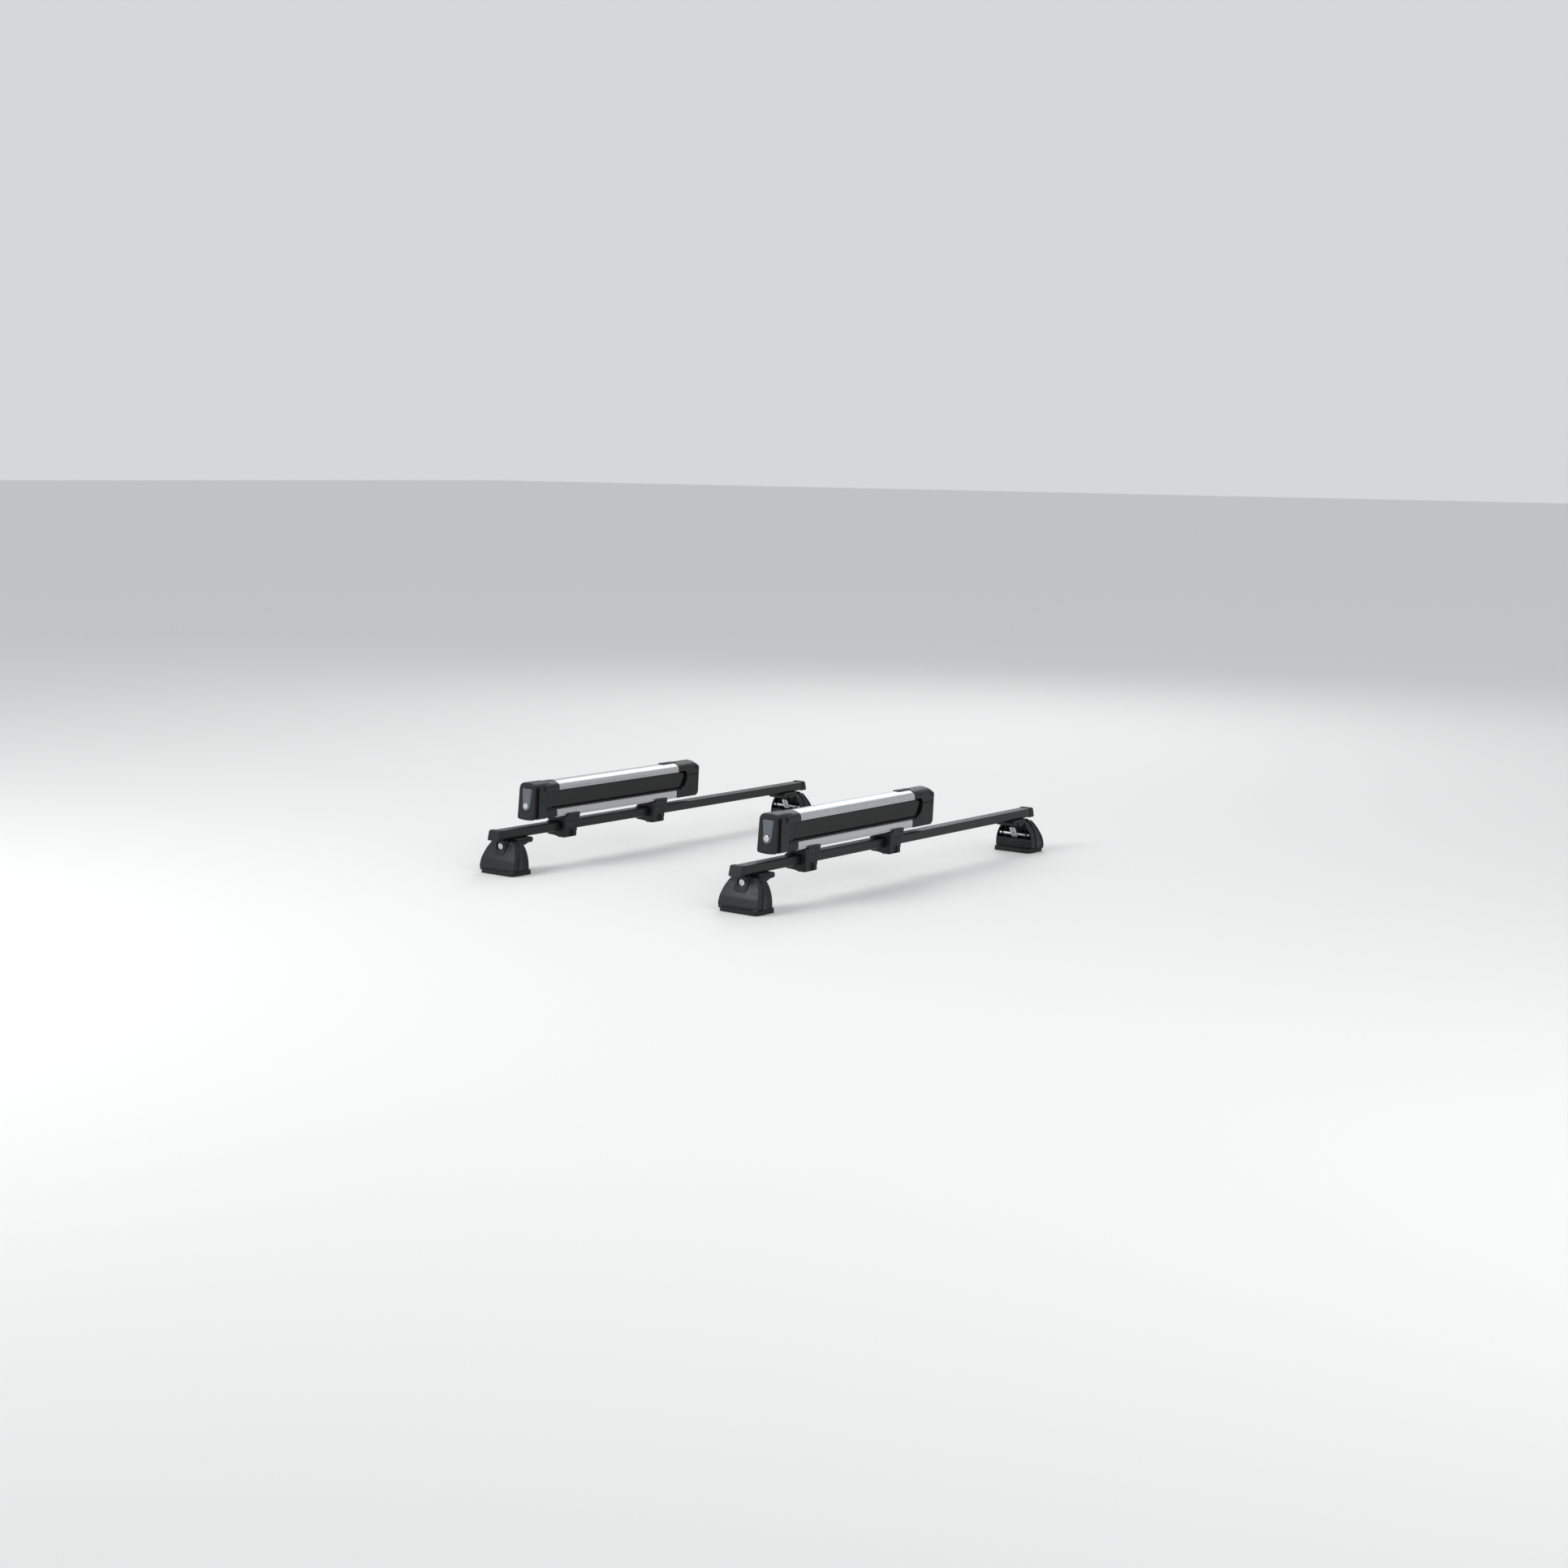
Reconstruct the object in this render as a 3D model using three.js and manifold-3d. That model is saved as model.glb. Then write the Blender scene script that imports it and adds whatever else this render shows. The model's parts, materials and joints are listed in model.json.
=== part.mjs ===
// Roof ski rack: two square bars on four locking feet, and two hinged ski carriers clamped above the bars.
// Millimetres. +X points to the front of the car, +Y to its left side, +Z up.
// The origin lies under the middle of the rack, on the plane that the rubber pads stand on.
import * as THREE from "three";
import { mergeVertices } from "three/addons/utils/BufferGeometryUtils.js";
import Module from "manifold-3d";

const wasm = await Module();
wasm.setup();

// Driving dimensions
const GAP = 0.3; // between pieces that touch
const BAR_LENGTH = 1200; // over the end caps
const BAR_WIDTH = 32;
const BAR_HEIGHT = 22;
const BAR_WALL = 2;
const BAR_SPACING = 732; // from one bar's centre to the other's
const BAR_Z = 95; // centre of the bars above the pads' undersides
const BAR_CORNER = 4;

const END_CAP = { length: 19, width: 34.5, height: 25, corner: 4.5, slant: 7, plug: 14 };

const FOOT = {
  halfBase: 56, // half the cover's width at its base
  halfCrown: 20, // half its width at its top
  bottom: 11,
  top: 79,
  inner: 532, // inner face, seam and front, measured out from the middle of the bar
  seam: 552,
  front: 566,
  wall: 3,
};
// How far out the cover's leaning face stands at each height, from its base to its top
const COVER_FACE = [[588, 11], [590, 17], [585, 36], [577, 53], [571, 67], [568, 79]];
const COVER_REACH = 595; // past the face everywhere
const BEAM_TOP = 34; // the foot's lower beam, on the inner face
const FOOT_LOCK = { z: 67, radius: 7.5, from: 567.4, to: 573 };
const TONGUE = { half: 18, root: 566, foot: 580, bottom: 46, top: 81, rise: 4 };
const TONGUE_SLOT = { radius: 12.5, floor: 569.5 }; // the U-shaped recess round the lock
const SADDLE = { half: 21, from: 489, bottom: 71 };
const PAD = { half: 54, from: 520, to: 588, height: 10.5, corner: 10 };
const CROSS_PIN = { y: 537, z: 45, radius: 4, half: 44, collar: 5.6, collarWidth: 4, collarInset: 7 };
const STRAP = { half: 9, top: 18, lean: -16, tail: -9, hole: 1.8, holeY: -10.5, holeZ: 9, tilt: -0.5 };

const CARRIER_HALF = 27; // half the width of a ski carrier
// Upper profile, with heights from the bar's centre as on the rest of a carrier
const ARM = { start: -397, end: 46, bottom: 91, side: 99, top: 113, groove: 95, grooveTop: 96.2, cut: 0.8 };
// Lower profile
const BASE = { start: -406, end: 38, bottom: 25, top: 45, corner: 3, groove: 30, grooveTop: 31.8, cut: 1 };
const UPPER_RUBBER = { half: 25, start: -425, end: 72, bottom: 50.7, corner: 5 };
const RUBBER_TIP = [[50, 50.7], [60, 62], [70, 84]]; // curve of the upper rubber's far end
const LOWER_RUBBER = { half: 24, start: -440, end: 56, top: 48.5, chamfer: 3 };
const PROFILE_WALL = 2.6;
const PLUG_LENGTH = 12; // how far each end piece reaches into its profile
const PAST = 40; // half-width of a cutting tool that goes right through
const HINGE = { y: 111, z: 99, pin: 4, lug: 12, lugHalf: 13, sweep: 18.6, crown: 16 };
const HINGE_CAP = { lip: 73, shoulder: 78, proud: 0.5, rise: 1 };
const TOWER = { inner: 80, outer: 127, top: 80, heel: 112, wall: 124, wallFoot: 39, throat: 74 };
const TOWER_FILLET = [[77, 57], [62, 51]]; // from the tower's inner face down to the lower arm
const CLEARANCE = 0.6; // round the turning faces of the hinge
const HOUSING = { front: -488, foot: 24, top: 114, lean: 7 / 90, lowerEnd: -441, upperEnd: -425, over: 2.2 };
const HOUSING_FACE = { corner: 5, taper: 2.5, crown: 13, bow: 1.5, heel: 8 };
const HOUSING_BAND = { from: -484, to: -468, depth: 3, top: 100 };
const BUTTON = { lockZ: 59, lowRadius: 12, halfTop: 16.5, top: 100, corner: 4, proud: 1.5, depth: 11 };
const BUTTON_PLAY = 0.4;
const BUTTON_POCKET = 18;
const CARRIER_LOCK = { radius: 7.6, proud: 1, depth: 8 };
const HOOK = { y: -459, z: 72, boss: 6, half: 6, pin: 3, toeZ: 33, toeY: -441.8 };
const HOOK_LEVER = { root: 4, back: 5, toe: 4, toeDepth: 3 };
const HOOK_ROOM = { half: 9.5, from: -467, bend: 62, foot: -479, top: 80 }; // leans back under the button
const STRIKER = { start: -440.5, bottom: 27, half: 26.5, chamfer: 3, pocket: 8, pocketDrop: 7 };
const KEYWAY = { half: 1, height: 3.5, depth: 2 };

const BRACKET_Y = [-384, -58]; // near edges of the two brackets of a carrier
const BRACKET = { length: 44, outer: 31, tabTop: 31, tabShift: 11, jawBottom: -27, split: 13 };
const JAW = { outer: -29, chamfer: 3, shoulder: 12, belly: 6 };
const BOLT = { z: -16.5, radius: 3, head: 6.5, headLength: 4.5, tip: -24, recess: 8.5, recessDepth: 6 };

const SLOTS = {
  bar_coating: { color: 0x23252a, roughness: 0.42, metalness: 0.1 },
  black_plastic: { color: 0x1e1f22, roughness: 0.55, metalness: 0 },
  cover_plastic: { color: 0x33353a, roughness: 0.5, metalness: 0 },
  button_plastic: { color: 0x70767a, roughness: 0.4, metalness: 0 },
  rubber: { color: 0x191a1c, roughness: 0.85, metalness: 0 },
  anodised_aluminium: { color: 0xb9bcc0, roughness: 0.35, metalness: 1 },
  lock_chrome: { color: 0xd4d6d8, roughness: 0.15, metalness: 1 },
  zinc_steel: { color: 0xc2c4c6, roughness: 0.35, metalness: 1 },
};

// ---------- solids ----------

function toSolid(geometry) {
  const bare = geometry.index ? geometry.toNonIndexed() : geometry.clone();
  bare.deleteAttribute("normal");
  bare.deleteAttribute("uv");
  const merged = mergeVertices(bare, 1e-3);
  const vertProperties = merged.attributes.position.array;
  const triVerts = new Uint32Array(merged.index.array);
  return new wasm.Manifold(new wasm.Mesh({ numProp: 3, vertProperties, triVerts }));
}

function toGeometry(solid) {
  const mesh = solid.getMesh();
  const geometry = new THREE.BufferGeometry();
  geometry.setAttribute("position", new THREE.BufferAttribute(new Float32Array(mesh.vertProperties), 3));
  geometry.setIndex(new THREE.BufferAttribute(new Uint32Array(mesh.triVerts), 1));
  const flat = geometry.toNonIndexed();
  flat.computeVertexNormals();
  return flat;
}

function join(...geometries) {
  return toGeometry(geometries.map(toSolid).reduce((a, b) => a.add(b)));
}

function cut(geometry, ...tools) {
  return toGeometry(tools.map(toSolid).reduce((a, b) => a.subtract(b), toSolid(geometry)));
}

function common(a, b) {
  return toGeometry(toSolid(a).intersect(toSolid(b)));
}

// ---------- outlines ----------

function polygon(points) {
  return new THREE.Shape(points.map(([x, y]) => new THREE.Vector2(x, y)));
}

function rectangle(x0, y0, x1, y1) {
  return polygon([[x0, y0], [x1, y0], [x1, y1], [x0, y1]]);
}

function roundedRectangle(width, height, radius, x = 0, y = 0) {
  const w = width / 2;
  const h = height / 2;
  const shape = new THREE.Shape();
  shape.absarc(x + w - radius, y - h + radius, radius, -Math.PI / 2, 0);
  shape.absarc(x + w - radius, y + h - radius, radius, 0, Math.PI / 2);
  shape.absarc(x - w + radius, y + h - radius, radius, Math.PI / 2, Math.PI);
  shape.absarc(x - w + radius, y - h + radius, radius, Math.PI, 1.5 * Math.PI);
  shape.closePath();
  return shape;
}

function disc(x, y, radius) {
  const shape = new THREE.Shape();
  shape.absarc(x, y, radius, 0, 2 * Math.PI);
  return shape;
}

// An outline in X and Z, carried along Y from y0 to y1.
function alongY(shape, y0, y1, curveSegments = 4) {
  const geometry = new THREE.ExtrudeGeometry(shape, { depth: y1 - y0, bevelEnabled: false, curveSegments });
  return geometry.rotateX(Math.PI / 2).translate(0, y1, 0);
}

// An outline in Y and Z, carried along X from x0 to x1.
function alongX(shape, x0, x1, curveSegments = 4) {
  const geometry = new THREE.ExtrudeGeometry(shape, { depth: x1 - x0, bevelEnabled: false, curveSegments });
  const turn = new THREE.Matrix4().makeBasis(
    new THREE.Vector3(0, 1, 0),
    new THREE.Vector3(0, 0, 1),
    new THREE.Vector3(1, 0, 0),
  );
  return geometry.applyMatrix4(turn).translate(x0, 0, 0);
}

// An outline in X and Y, carried up Z from z0 to z1.
function alongZ(shape, z0, z1, curveSegments = 4) {
  const geometry = new THREE.ExtrudeGeometry(shape, { depth: z1 - z0, bevelEnabled: false, curveSegments });
  return geometry.translate(0, 0, z0);
}

function box(x0, y0, z0, x1, y1, z1) {
  return alongZ(rectangle(x0, y0, x1, y1), z0, z1);
}

// Leans a piece so that it moves along Y by `lean` for each millimetre above `floor`.
function leaned(geometry, lean, floor) {
  const shear = new THREE.Matrix4().set(1, 0, 0, 0, 0, 1, lean, -lean * floor, 0, 0, 1, 0, 0, 0, 0, 1);
  return geometry.applyMatrix4(shear);
}

// ---------- bars ----------

function barGeometry() {
  const section = roundedRectangle(BAR_WIDTH, BAR_HEIGHT, BAR_CORNER);
  const bore = roundedRectangle(BAR_WIDTH - 2 * BAR_WALL, BAR_HEIGHT - 2 * BAR_WALL, BAR_CORNER - BAR_WALL);
  section.holes.push(bore);
  const half = BAR_LENGTH / 2 - END_CAP.length;
  return alongY(section, -half, half, 3);
}

// Sits on the +Y end of a bar; its outer face leans out towards the bottom.
function endCapGeometry() {
  const inner = BAR_LENGTH / 2 - END_CAP.length;
  const head = alongY(
    roundedRectangle(END_CAP.width, END_CAP.height, END_CAP.corner), inner + GAP, BAR_LENGTH / 2, 3,
  );
  const { position } = head.attributes;
  for (let i = 0; i < position.count; i += 1) {
    const height = position.getZ(i) / END_CAP.height + 0.5;
    if (position.getY(i) > inner + 1) position.setY(i, position.getY(i) - END_CAP.slant * height);
  }
  const slack = 2 * BAR_WALL + 2 * GAP;
  const plug = alongY(
    roundedRectangle(BAR_WIDTH - slack, BAR_HEIGHT - slack, 2), inner - END_CAP.plug, inner + 2 * GAP, 2,
  );
  return join(head, plug);
}

// ---------- feet: x across the foot, y outwards along the bar, z up ----------

// The bell-shaped front outline of a foot, drawn in from the cover's outside by `inset`.
function bell(inset, bottom, top) {
  const base = FOOT.halfBase - inset;
  const crown = FOOT.halfCrown - inset / 2;
  const rise = FOOT.top - FOOT.bottom;
  const shape = new THREE.Shape();
  const shoulder = FOOT.bottom + 0.13 * rise;
  const bend = [FOOT.bottom + 0.5 * rise, top - 0.16 * rise];
  const spread = crown + 0.6 * (base - crown);
  shape.moveTo(-base, bottom);
  shape.lineTo(base, bottom);
  if (bottom < shoulder) shape.lineTo(base, shoulder);
  shape.bezierCurveTo(base, bend[0], spread, bend[1], crown, top);
  shape.lineTo(-crown, top);
  shape.bezierCurveTo(-spread, bend[1], -base, bend[0], -base, Math.max(bottom, shoulder));
  shape.closePath();
  return shape;
}

// Side outline of the cover: its face leans outwards towards the base. `inset` draws it in.
function coverSide(inset) {
  const back = FOOT.seam + GAP - 2 * inset;
  const face = COVER_FACE.map(([y, z], index) => {
    const level = index === 0 || index === COVER_FACE.length - 1;
    return [y - inset, level ? z - inset : z];
  });
  return polygon([[back, FOOT.bottom - inset], ...face, [back, FOOT.top - inset]]);
}

function footCoverGeometry() {
  const sides = [-FOOT.halfBase - 4, FOOT.halfBase + 4];
  const outside = common(
    alongY(bell(0, FOOT.bottom, FOOT.top), FOOT.seam + GAP, COVER_REACH, 7),
    alongX(coverSide(0), ...sides),
  );
  const inside = common(
    alongY(bell(FOOT.wall, FOOT.bottom - 1, FOOT.top - FOOT.wall), FOOT.seam - 5, COVER_REACH, 7),
    alongX(coverSide(FOOT.wall), ...sides),
  );
  const [lockFace, topFace] = [COVER_FACE[4][0], COVER_FACE[5][0]];
  const tongueSide = polygon([
    [TONGUE.root, TONGUE.bottom],
    [TONGUE.foot, TONGUE.bottom],
    [lockFace + TONGUE.rise, FOOT_LOCK.z],
    [topFace + TONGUE.rise, TONGUE.top],
    [TONGUE.root, TONGUE.top],
  ]);
  const tongue = alongX(tongueSide, -TONGUE.half, TONGUE.half);
  const { radius, floor } = TONGUE_SLOT;
  const slot = join(
    alongY(disc(0, FOOT_LOCK.z, radius), floor, COVER_REACH, 10),
    box(-radius, floor, FOOT_LOCK.z, radius, COVER_REACH, TONGUE.top + 9),
  );
  const lockHole = alongY(disc(0, FOOT_LOCK.z, FOOT_LOCK.radius + GAP), FOOT.inner, COVER_REACH, 10);
  return cut(join(cut(outside, inside), tongue), slot, lockHole);
}

// The body of a foot: a bell-shaped block with a recess on its inner face and a saddle under the bar.
function footFrameGeometry() {
  const floor = PAD.height + GAP;
  const rear = alongY(bell(2, floor, FOOT.top - 2), FOOT.inner, FOOT.seam, 7);
  const front = alongY(bell(FOOT.wall + 2, floor, FOOT.top - 6), FOOT.seam - 1, FOOT.front, 7);
  const saddleTop = BAR_Z - BAR_HEIGHT / 2 - GAP;
  const saddleSide = polygon([
    [SADDLE.from, SADDLE.bottom + 3],
    [SADDLE.from + 3, SADDLE.bottom],
    [FOOT.seam, SADDLE.bottom],
    [FOOT.seam, saddleTop],
    [SADDLE.from + 2, saddleTop],
    [SADDLE.from, saddleTop - 2],
  ]);
  const saddle = alongX(saddleSide, -SADDLE.half, SADDLE.half);
  const recess = alongY(bell(5, BEAM_TOP, FOOT.top - 9), FOOT.inner - 1, FOOT.front - 6, 7);
  return cut(join(rear, front, saddle), recess);
}

function footPadGeometry() {
  const depth = PAD.to - PAD.from;
  const plan = roundedRectangle(2 * PAD.half, depth, PAD.corner, 0, PAD.from + depth / 2);
  return alongZ(plan, 0, PAD.height, 3);
}

function footLockGeometry() {
  const barrel = alongY(disc(0, FOOT_LOCK.z, FOOT_LOCK.radius), FOOT_LOCK.from, FOOT_LOCK.to, 10);
  return cut(barrel, keyway(FOOT_LOCK.to - KEYWAY.depth, FOOT_LOCK.to + 1, FOOT_LOCK.z));
}

function keyway(y0, y1, z) {
  return box(-KEYWAY.half, y0, z - KEYWAY.height, KEYWAY.half, y1, z + KEYWAY.height);
}

// The pin across the foot's recess, with the leaning strap that pulls the claw.
function clampStrapGeometry() {
  const { y, z, radius, half, collar, collarWidth, collarInset } = CROSS_PIN;
  const pin = alongX(disc(y, z, radius), -half, half, 6);
  const collars = [-half + collarInset, half - collarInset - collarWidth].map((x) =>
    alongX(disc(y, z, collar), x, x + collarWidth, 6),
  );
  const strapSide = polygon([
    [y + STRAP.lean, z + STRAP.top - 1],
    [y + STRAP.lean + 3, z + STRAP.top],
    [y + 1, z + STRAP.tail + 1],
    [y - 3, z + STRAP.tail],
  ]);
  const strap = alongX(strapSide, -STRAP.half, STRAP.half);
  const hole = alongX(disc(0, 0, STRAP.hole), -STRAP.half - 3, STRAP.half + 3, 4)
    .rotateZ(Math.PI / 2)
    .rotateX(STRAP.tilt)
    .translate(0, y + STRAP.holeY, z + STRAP.holeZ);
  return cut(join(pin, ...collars, strap), hole);
}

// ---------- ski carriers: y along the bar, heights from the bar's centre ----------

// The domed section of the upper profile, drawn in by `inset`.
function domeSection(inset) {
  const half = CARRIER_HALF - inset;
  const shape = new THREE.Shape();
  const floor = ARM.bottom + GAP + inset;
  shape.moveTo(-half, floor);
  shape.lineTo(half, floor);
  shape.lineTo(half, ARM.side);
  shape.absellipse(0, ARM.side, half, ARM.top - inset - ARM.side, 0, Math.PI);
  shape.closePath();
  return shape;
}

// A groove along each side of a profile.
function sideGrooves({ start, end, groove, grooveTop, cut: depth }) {
  return [-CARRIER_HALF, CARRIER_HALF].map((edge) =>
    box(edge - depth, start - 1, groove, edge + depth, end + 1, grooveTop),
  );
}

function upperProfileGeometry() {
  const section = domeSection(0);
  section.holes.push(domeSection(PROFILE_WALL));
  const tube = alongY(section, ARM.start, ARM.end, 12);
  return cut(tube, ...sideGrooves(ARM));
}

function upperRubberGeometry() {
  const { half, start, end, bottom, corner } = UPPER_RUBBER;
  const near = start + GAP;
  const top = ARM.bottom;
  const [tip, bulge, shoulder] = RUBBER_TIP;
  const side = new THREE.Shape();
  side.moveTo(near, bottom);
  side.lineTo(...tip);
  side.quadraticCurveTo(...bulge, ...shoulder);
  side.lineTo(end, top);
  side.lineTo(near, top);
  side.closePath();
  const height = top - bottom + 2 * corner; // the upper corners are cut away
  const section = roundedRectangle(2 * half, height, corner, 0, bottom + height / 2);
  return common(alongX(side, -PAST, PAST, 5), alongY(section, near - 1, end + 1, 3));
}

function lowerProfileGeometry() {
  const height = BASE.top - BASE.bottom;
  const middle = (BASE.top + BASE.bottom) / 2;
  const section = roundedRectangle(2 * CARRIER_HALF, height, BASE.corner, 0, middle);
  const boreWidth = 2 * (CARRIER_HALF - PROFILE_WALL);
  section.holes.push(roundedRectangle(boreWidth, height - 2 * PROFILE_WALL, 1, 0, middle));
  return cut(alongY(section, BASE.start, BASE.end, 3), ...sideGrooves(BASE));
}

function lowerRubberGeometry() {
  const shape = polygon([
    [LOWER_RUBBER.start, BASE.top + GAP],
    [LOWER_RUBBER.end, BASE.top + GAP],
    [LOWER_RUBBER.end - LOWER_RUBBER.chamfer, LOWER_RUBBER.top],
    [LOWER_RUBBER.start + LOWER_RUBBER.chamfer, LOWER_RUBBER.top],
  ]);
  return alongX(shape, -LOWER_RUBBER.half, LOWER_RUBBER.half);
}

// Side outline of the hinge cap, wrapped round the hinge pin.
function hingeCapSide() {
  const { y, z, sweep, crown } = HINGE;
  const start = ARM.end + GAP;
  const under = TOWER.top + CLEARANCE;
  const dip = Math.asin((z - under) / sweep);
  const side = new THREE.Shape();
  side.moveTo(start, ARM.bottom + GAP);
  side.lineTo(HINGE_CAP.lip, ARM.bottom + GAP);
  side.lineTo(HINGE_CAP.shoulder, under);
  side.lineTo(y - sweep * Math.cos(dip), under);
  side.absarc(y, z, sweep, Math.PI + dip, 2 * Math.PI - Math.acos(crown / sweep));
  side.lineTo(y + crown, z);
  side.absarc(y, z, crown, 0, Math.PI / 2);
  side.lineTo(start, ARM.top + HINGE_CAP.rise);
  side.closePath();
  return side;
}

// Section across the hinge cap: straight sides under a dome.
function hingeCapSection() {
  const half = CARRIER_HALF + HINGE_CAP.proud;
  const floor = TOWER.top - 5;
  const section = new THREE.Shape();
  section.moveTo(-half, floor);
  section.lineTo(half, floor);
  section.lineTo(half, ARM.side);
  section.absellipse(0, ARM.side, half, ARM.top + 2 * HINGE_CAP.rise - ARM.side, 0, Math.PI);
  section.closePath();
  return section;
}

// Moving half of the hinge: a fork that closes the far end of the upper profile.
function hingeCapGeometry() {
  const { y, z } = HINGE;
  const start = ARM.end + GAP;
  const far = TOWER.outer + 20;
  const shell = common(alongX(hingeCapSide(), -PAST, PAST, 6), alongY(hingeCapSection(), ARM.end, far, 12));
  const plug = alongY(domeSection(PROFILE_WALL + GAP), ARM.end - PLUG_LENGTH, start + 1, 8);
  const half = HINGE.lugHalf + GAP;
  const room = HINGE.lug + CLEARANCE;
  const slot = join(
    alongX(disc(y, z, room), -half, half, 8),
    box(-half, y, z - PAST, half, far, z + room),
    box(-half, y - room, z - PAST, half, far, z),
  );
  const bore = alongX(disc(y, z, HINGE.pin + GAP), -PAST, PAST, 8);
  return cut(join(shell, plug), slot, bore);
}

// Side outline of the hinge tower, with the lower arm's far end in front of it.
function hingeTowerSide() {
  const { y, z, sweep, crown } = HINGE;
  const start = BASE.end + GAP;
  const ring = sweep + CLEARANCE;
  const rim = Math.asin(crown / ring);
  const seat = LOWER_RUBBER.end + GAP;
  const side = new THREE.Shape();
  side.moveTo(start, BASE.bottom);
  side.lineTo(TOWER.heel, BASE.bottom);
  side.quadraticCurveTo(TOWER.wall - 1, BASE.bottom, TOWER.wall, TOWER.wallFoot);
  side.lineTo(TOWER.outer, z - ring * Math.cos(rim));
  side.absarc(y, z, ring, 1.5 * Math.PI + rim, 1.5 * Math.PI, true);
  side.lineTo(TOWER.inner, z - ring);
  side.lineTo(TOWER.inner, TOWER.throat);
  side.quadraticCurveTo(...TOWER_FILLET[0], ...TOWER_FILLET[1]);
  side.lineTo(seat, LOWER_RUBBER.top + 1);
  side.lineTo(seat, BASE.top);
  side.lineTo(start, BASE.top);
  side.closePath();
  return side;
}

// Fixed half of the hinge: the lower arm's far end, its tower, and the lug that carries the pin.
function hingeTowerGeometry() {
  const { y, z, lug, lugHalf } = HINGE;
  const body = alongX(hingeTowerSide(), -CARRIER_HALF, CARRIER_HALF, 5);
  const ear = join(
    alongX(disc(y, z, lug), -lugHalf, lugHalf, 8),
    box(-lugHalf, y - lug, TOWER.throat - 4, lugHalf, y + lug, z),
  );
  const pin = alongX(disc(y, z, HINGE.pin), -CARRIER_HALF + 1, CARRIER_HALF - 1, 8);
  const plug = basePlug(BASE.end - PLUG_LENGTH, BASE.end + GAP + 1);
  return join(body, ear, pin, plug);
}

// A block that fits the bore of the lower profile.
function basePlug(y0, y1) {
  const inset = PROFILE_WALL + GAP;
  const half = CARRIER_HALF - inset;
  return box(-half, y0, BASE.bottom + inset, half, y1, BASE.top - inset);
}

// The button's outline: a shield, round at the lock and widening upwards.
function shield(grow) {
  const low = BUTTON.lowRadius + grow;
  const half = BUTTON.halfTop + grow;
  const corner = BUTTON.corner;
  const shape = new THREE.Shape();
  shape.absarc(0, BUTTON.lockZ, low, Math.PI, 2 * Math.PI);
  shape.lineTo(half, BUTTON.top - corner);
  shape.quadraticCurveTo(half, BUTTON.top + grow, half - corner, BUTTON.top + grow);
  shape.lineTo(-half + corner, BUTTON.top + grow);
  shape.quadraticCurveTo(-half, BUTTON.top + grow, -half, BUTTON.top - corner);
  shape.closePath();
  return shape;
}

// Front outline of the latch housing: round at the top, with a bowed lower edge.
function latchFront() {
  const { corner, taper, crown, bow, heel } = HOUSING_FACE;
  const { foot, top } = HOUSING;
  const wide = CARRIER_HALF;
  const narrow = CARRIER_HALF - taper;
  const shape = new THREE.Shape();
  shape.moveTo(-wide + corner, foot + bow);
  shape.quadraticCurveTo(0, foot - bow, wide - corner, foot + bow);
  shape.quadraticCurveTo(wide, foot + 2, wide, foot + heel);
  shape.lineTo(narrow, top - crown);
  shape.quadraticCurveTo(narrow - 1, top, narrow - crown, top);
  shape.lineTo(-narrow + crown, top);
  shape.quadraticCurveTo(-narrow + 1, top, -narrow, top - crown);
  shape.lineTo(-wide, foot + heel);
  shape.quadraticCurveTo(-wide, foot + 2, -wide + corner, foot + bow);
  shape.closePath();
  return shape;
}

// Side outline of the latch housing, with the sleeve that takes the upper profile.
function housingSide() {
  const sleeveBottom = ARM.bottom + GAP;
  const floor = LOWER_RUBBER.top + HOUSING.over;
  const sleeveEnd = ARM.start - GAP;
  return polygon([
    [HOUSING.front, HOUSING.foot - 2],
    [HOUSING.lowerEnd, HOUSING.foot - 2],
    [HOUSING.lowerEnd, floor],
    [HOUSING.upperEnd, floor],
    [HOUSING.upperEnd, sleeveBottom],
    [sleeveEnd, sleeveBottom],
    [sleeveEnd, HOUSING.top],
    [HOUSING.front + HOUSING.lean * (HOUSING.top - HOUSING.foot), HOUSING.top],
  ]);
}

// Tools that cut the recessed band round the housing's sides.
function housingBands() {
  const { from, to, top, depth } = HOUSING_BAND;
  const { lean, foot } = HOUSING;
  return [-CARRIER_HALF, CARRIER_HALF].map((edge) =>
    leaned(box(edge - depth, from, foot - 5, edge + depth, to, top), lean, foot),
  );
}

// The tall latch housing on the near end of the upper arm.
function latchHousingGeometry() {
  const { front, lean, foot, lowerEnd } = HOUSING;
  const blank = common(alongX(housingSide(), -PAST, PAST), alongY(latchFront(), front - 12, ARM.start, 5));
  const plug = alongY(domeSection(PROFILE_WALL + GAP), ARM.start - 1, ARM.start + PLUG_LENGTH, 8);
  const pocket = leaned(alongY(shield(BUTTON_PLAY), front - 10, front + BUTTON_POCKET, 7), lean, foot);
  const room = alongX(
    polygon([
      [HOOK_ROOM.foot, foot - 5],
      [lowerEnd + 1, foot - 5],
      [lowerEnd + 1, HOOK_ROOM.top],
      [HOOK_ROOM.from, HOOK_ROOM.top],
      [HOOK_ROOM.from, HOOK_ROOM.bend],
    ]),
    -HOOK_ROOM.half,
    HOOK_ROOM.half,
  );
  const bore = alongX(disc(HOOK.y, HOOK.z, HOOK.pin + GAP), -PAST, PAST, 6);
  return cut(join(blank, plug), pocket, ...housingBands(), room, bore);
}

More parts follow.
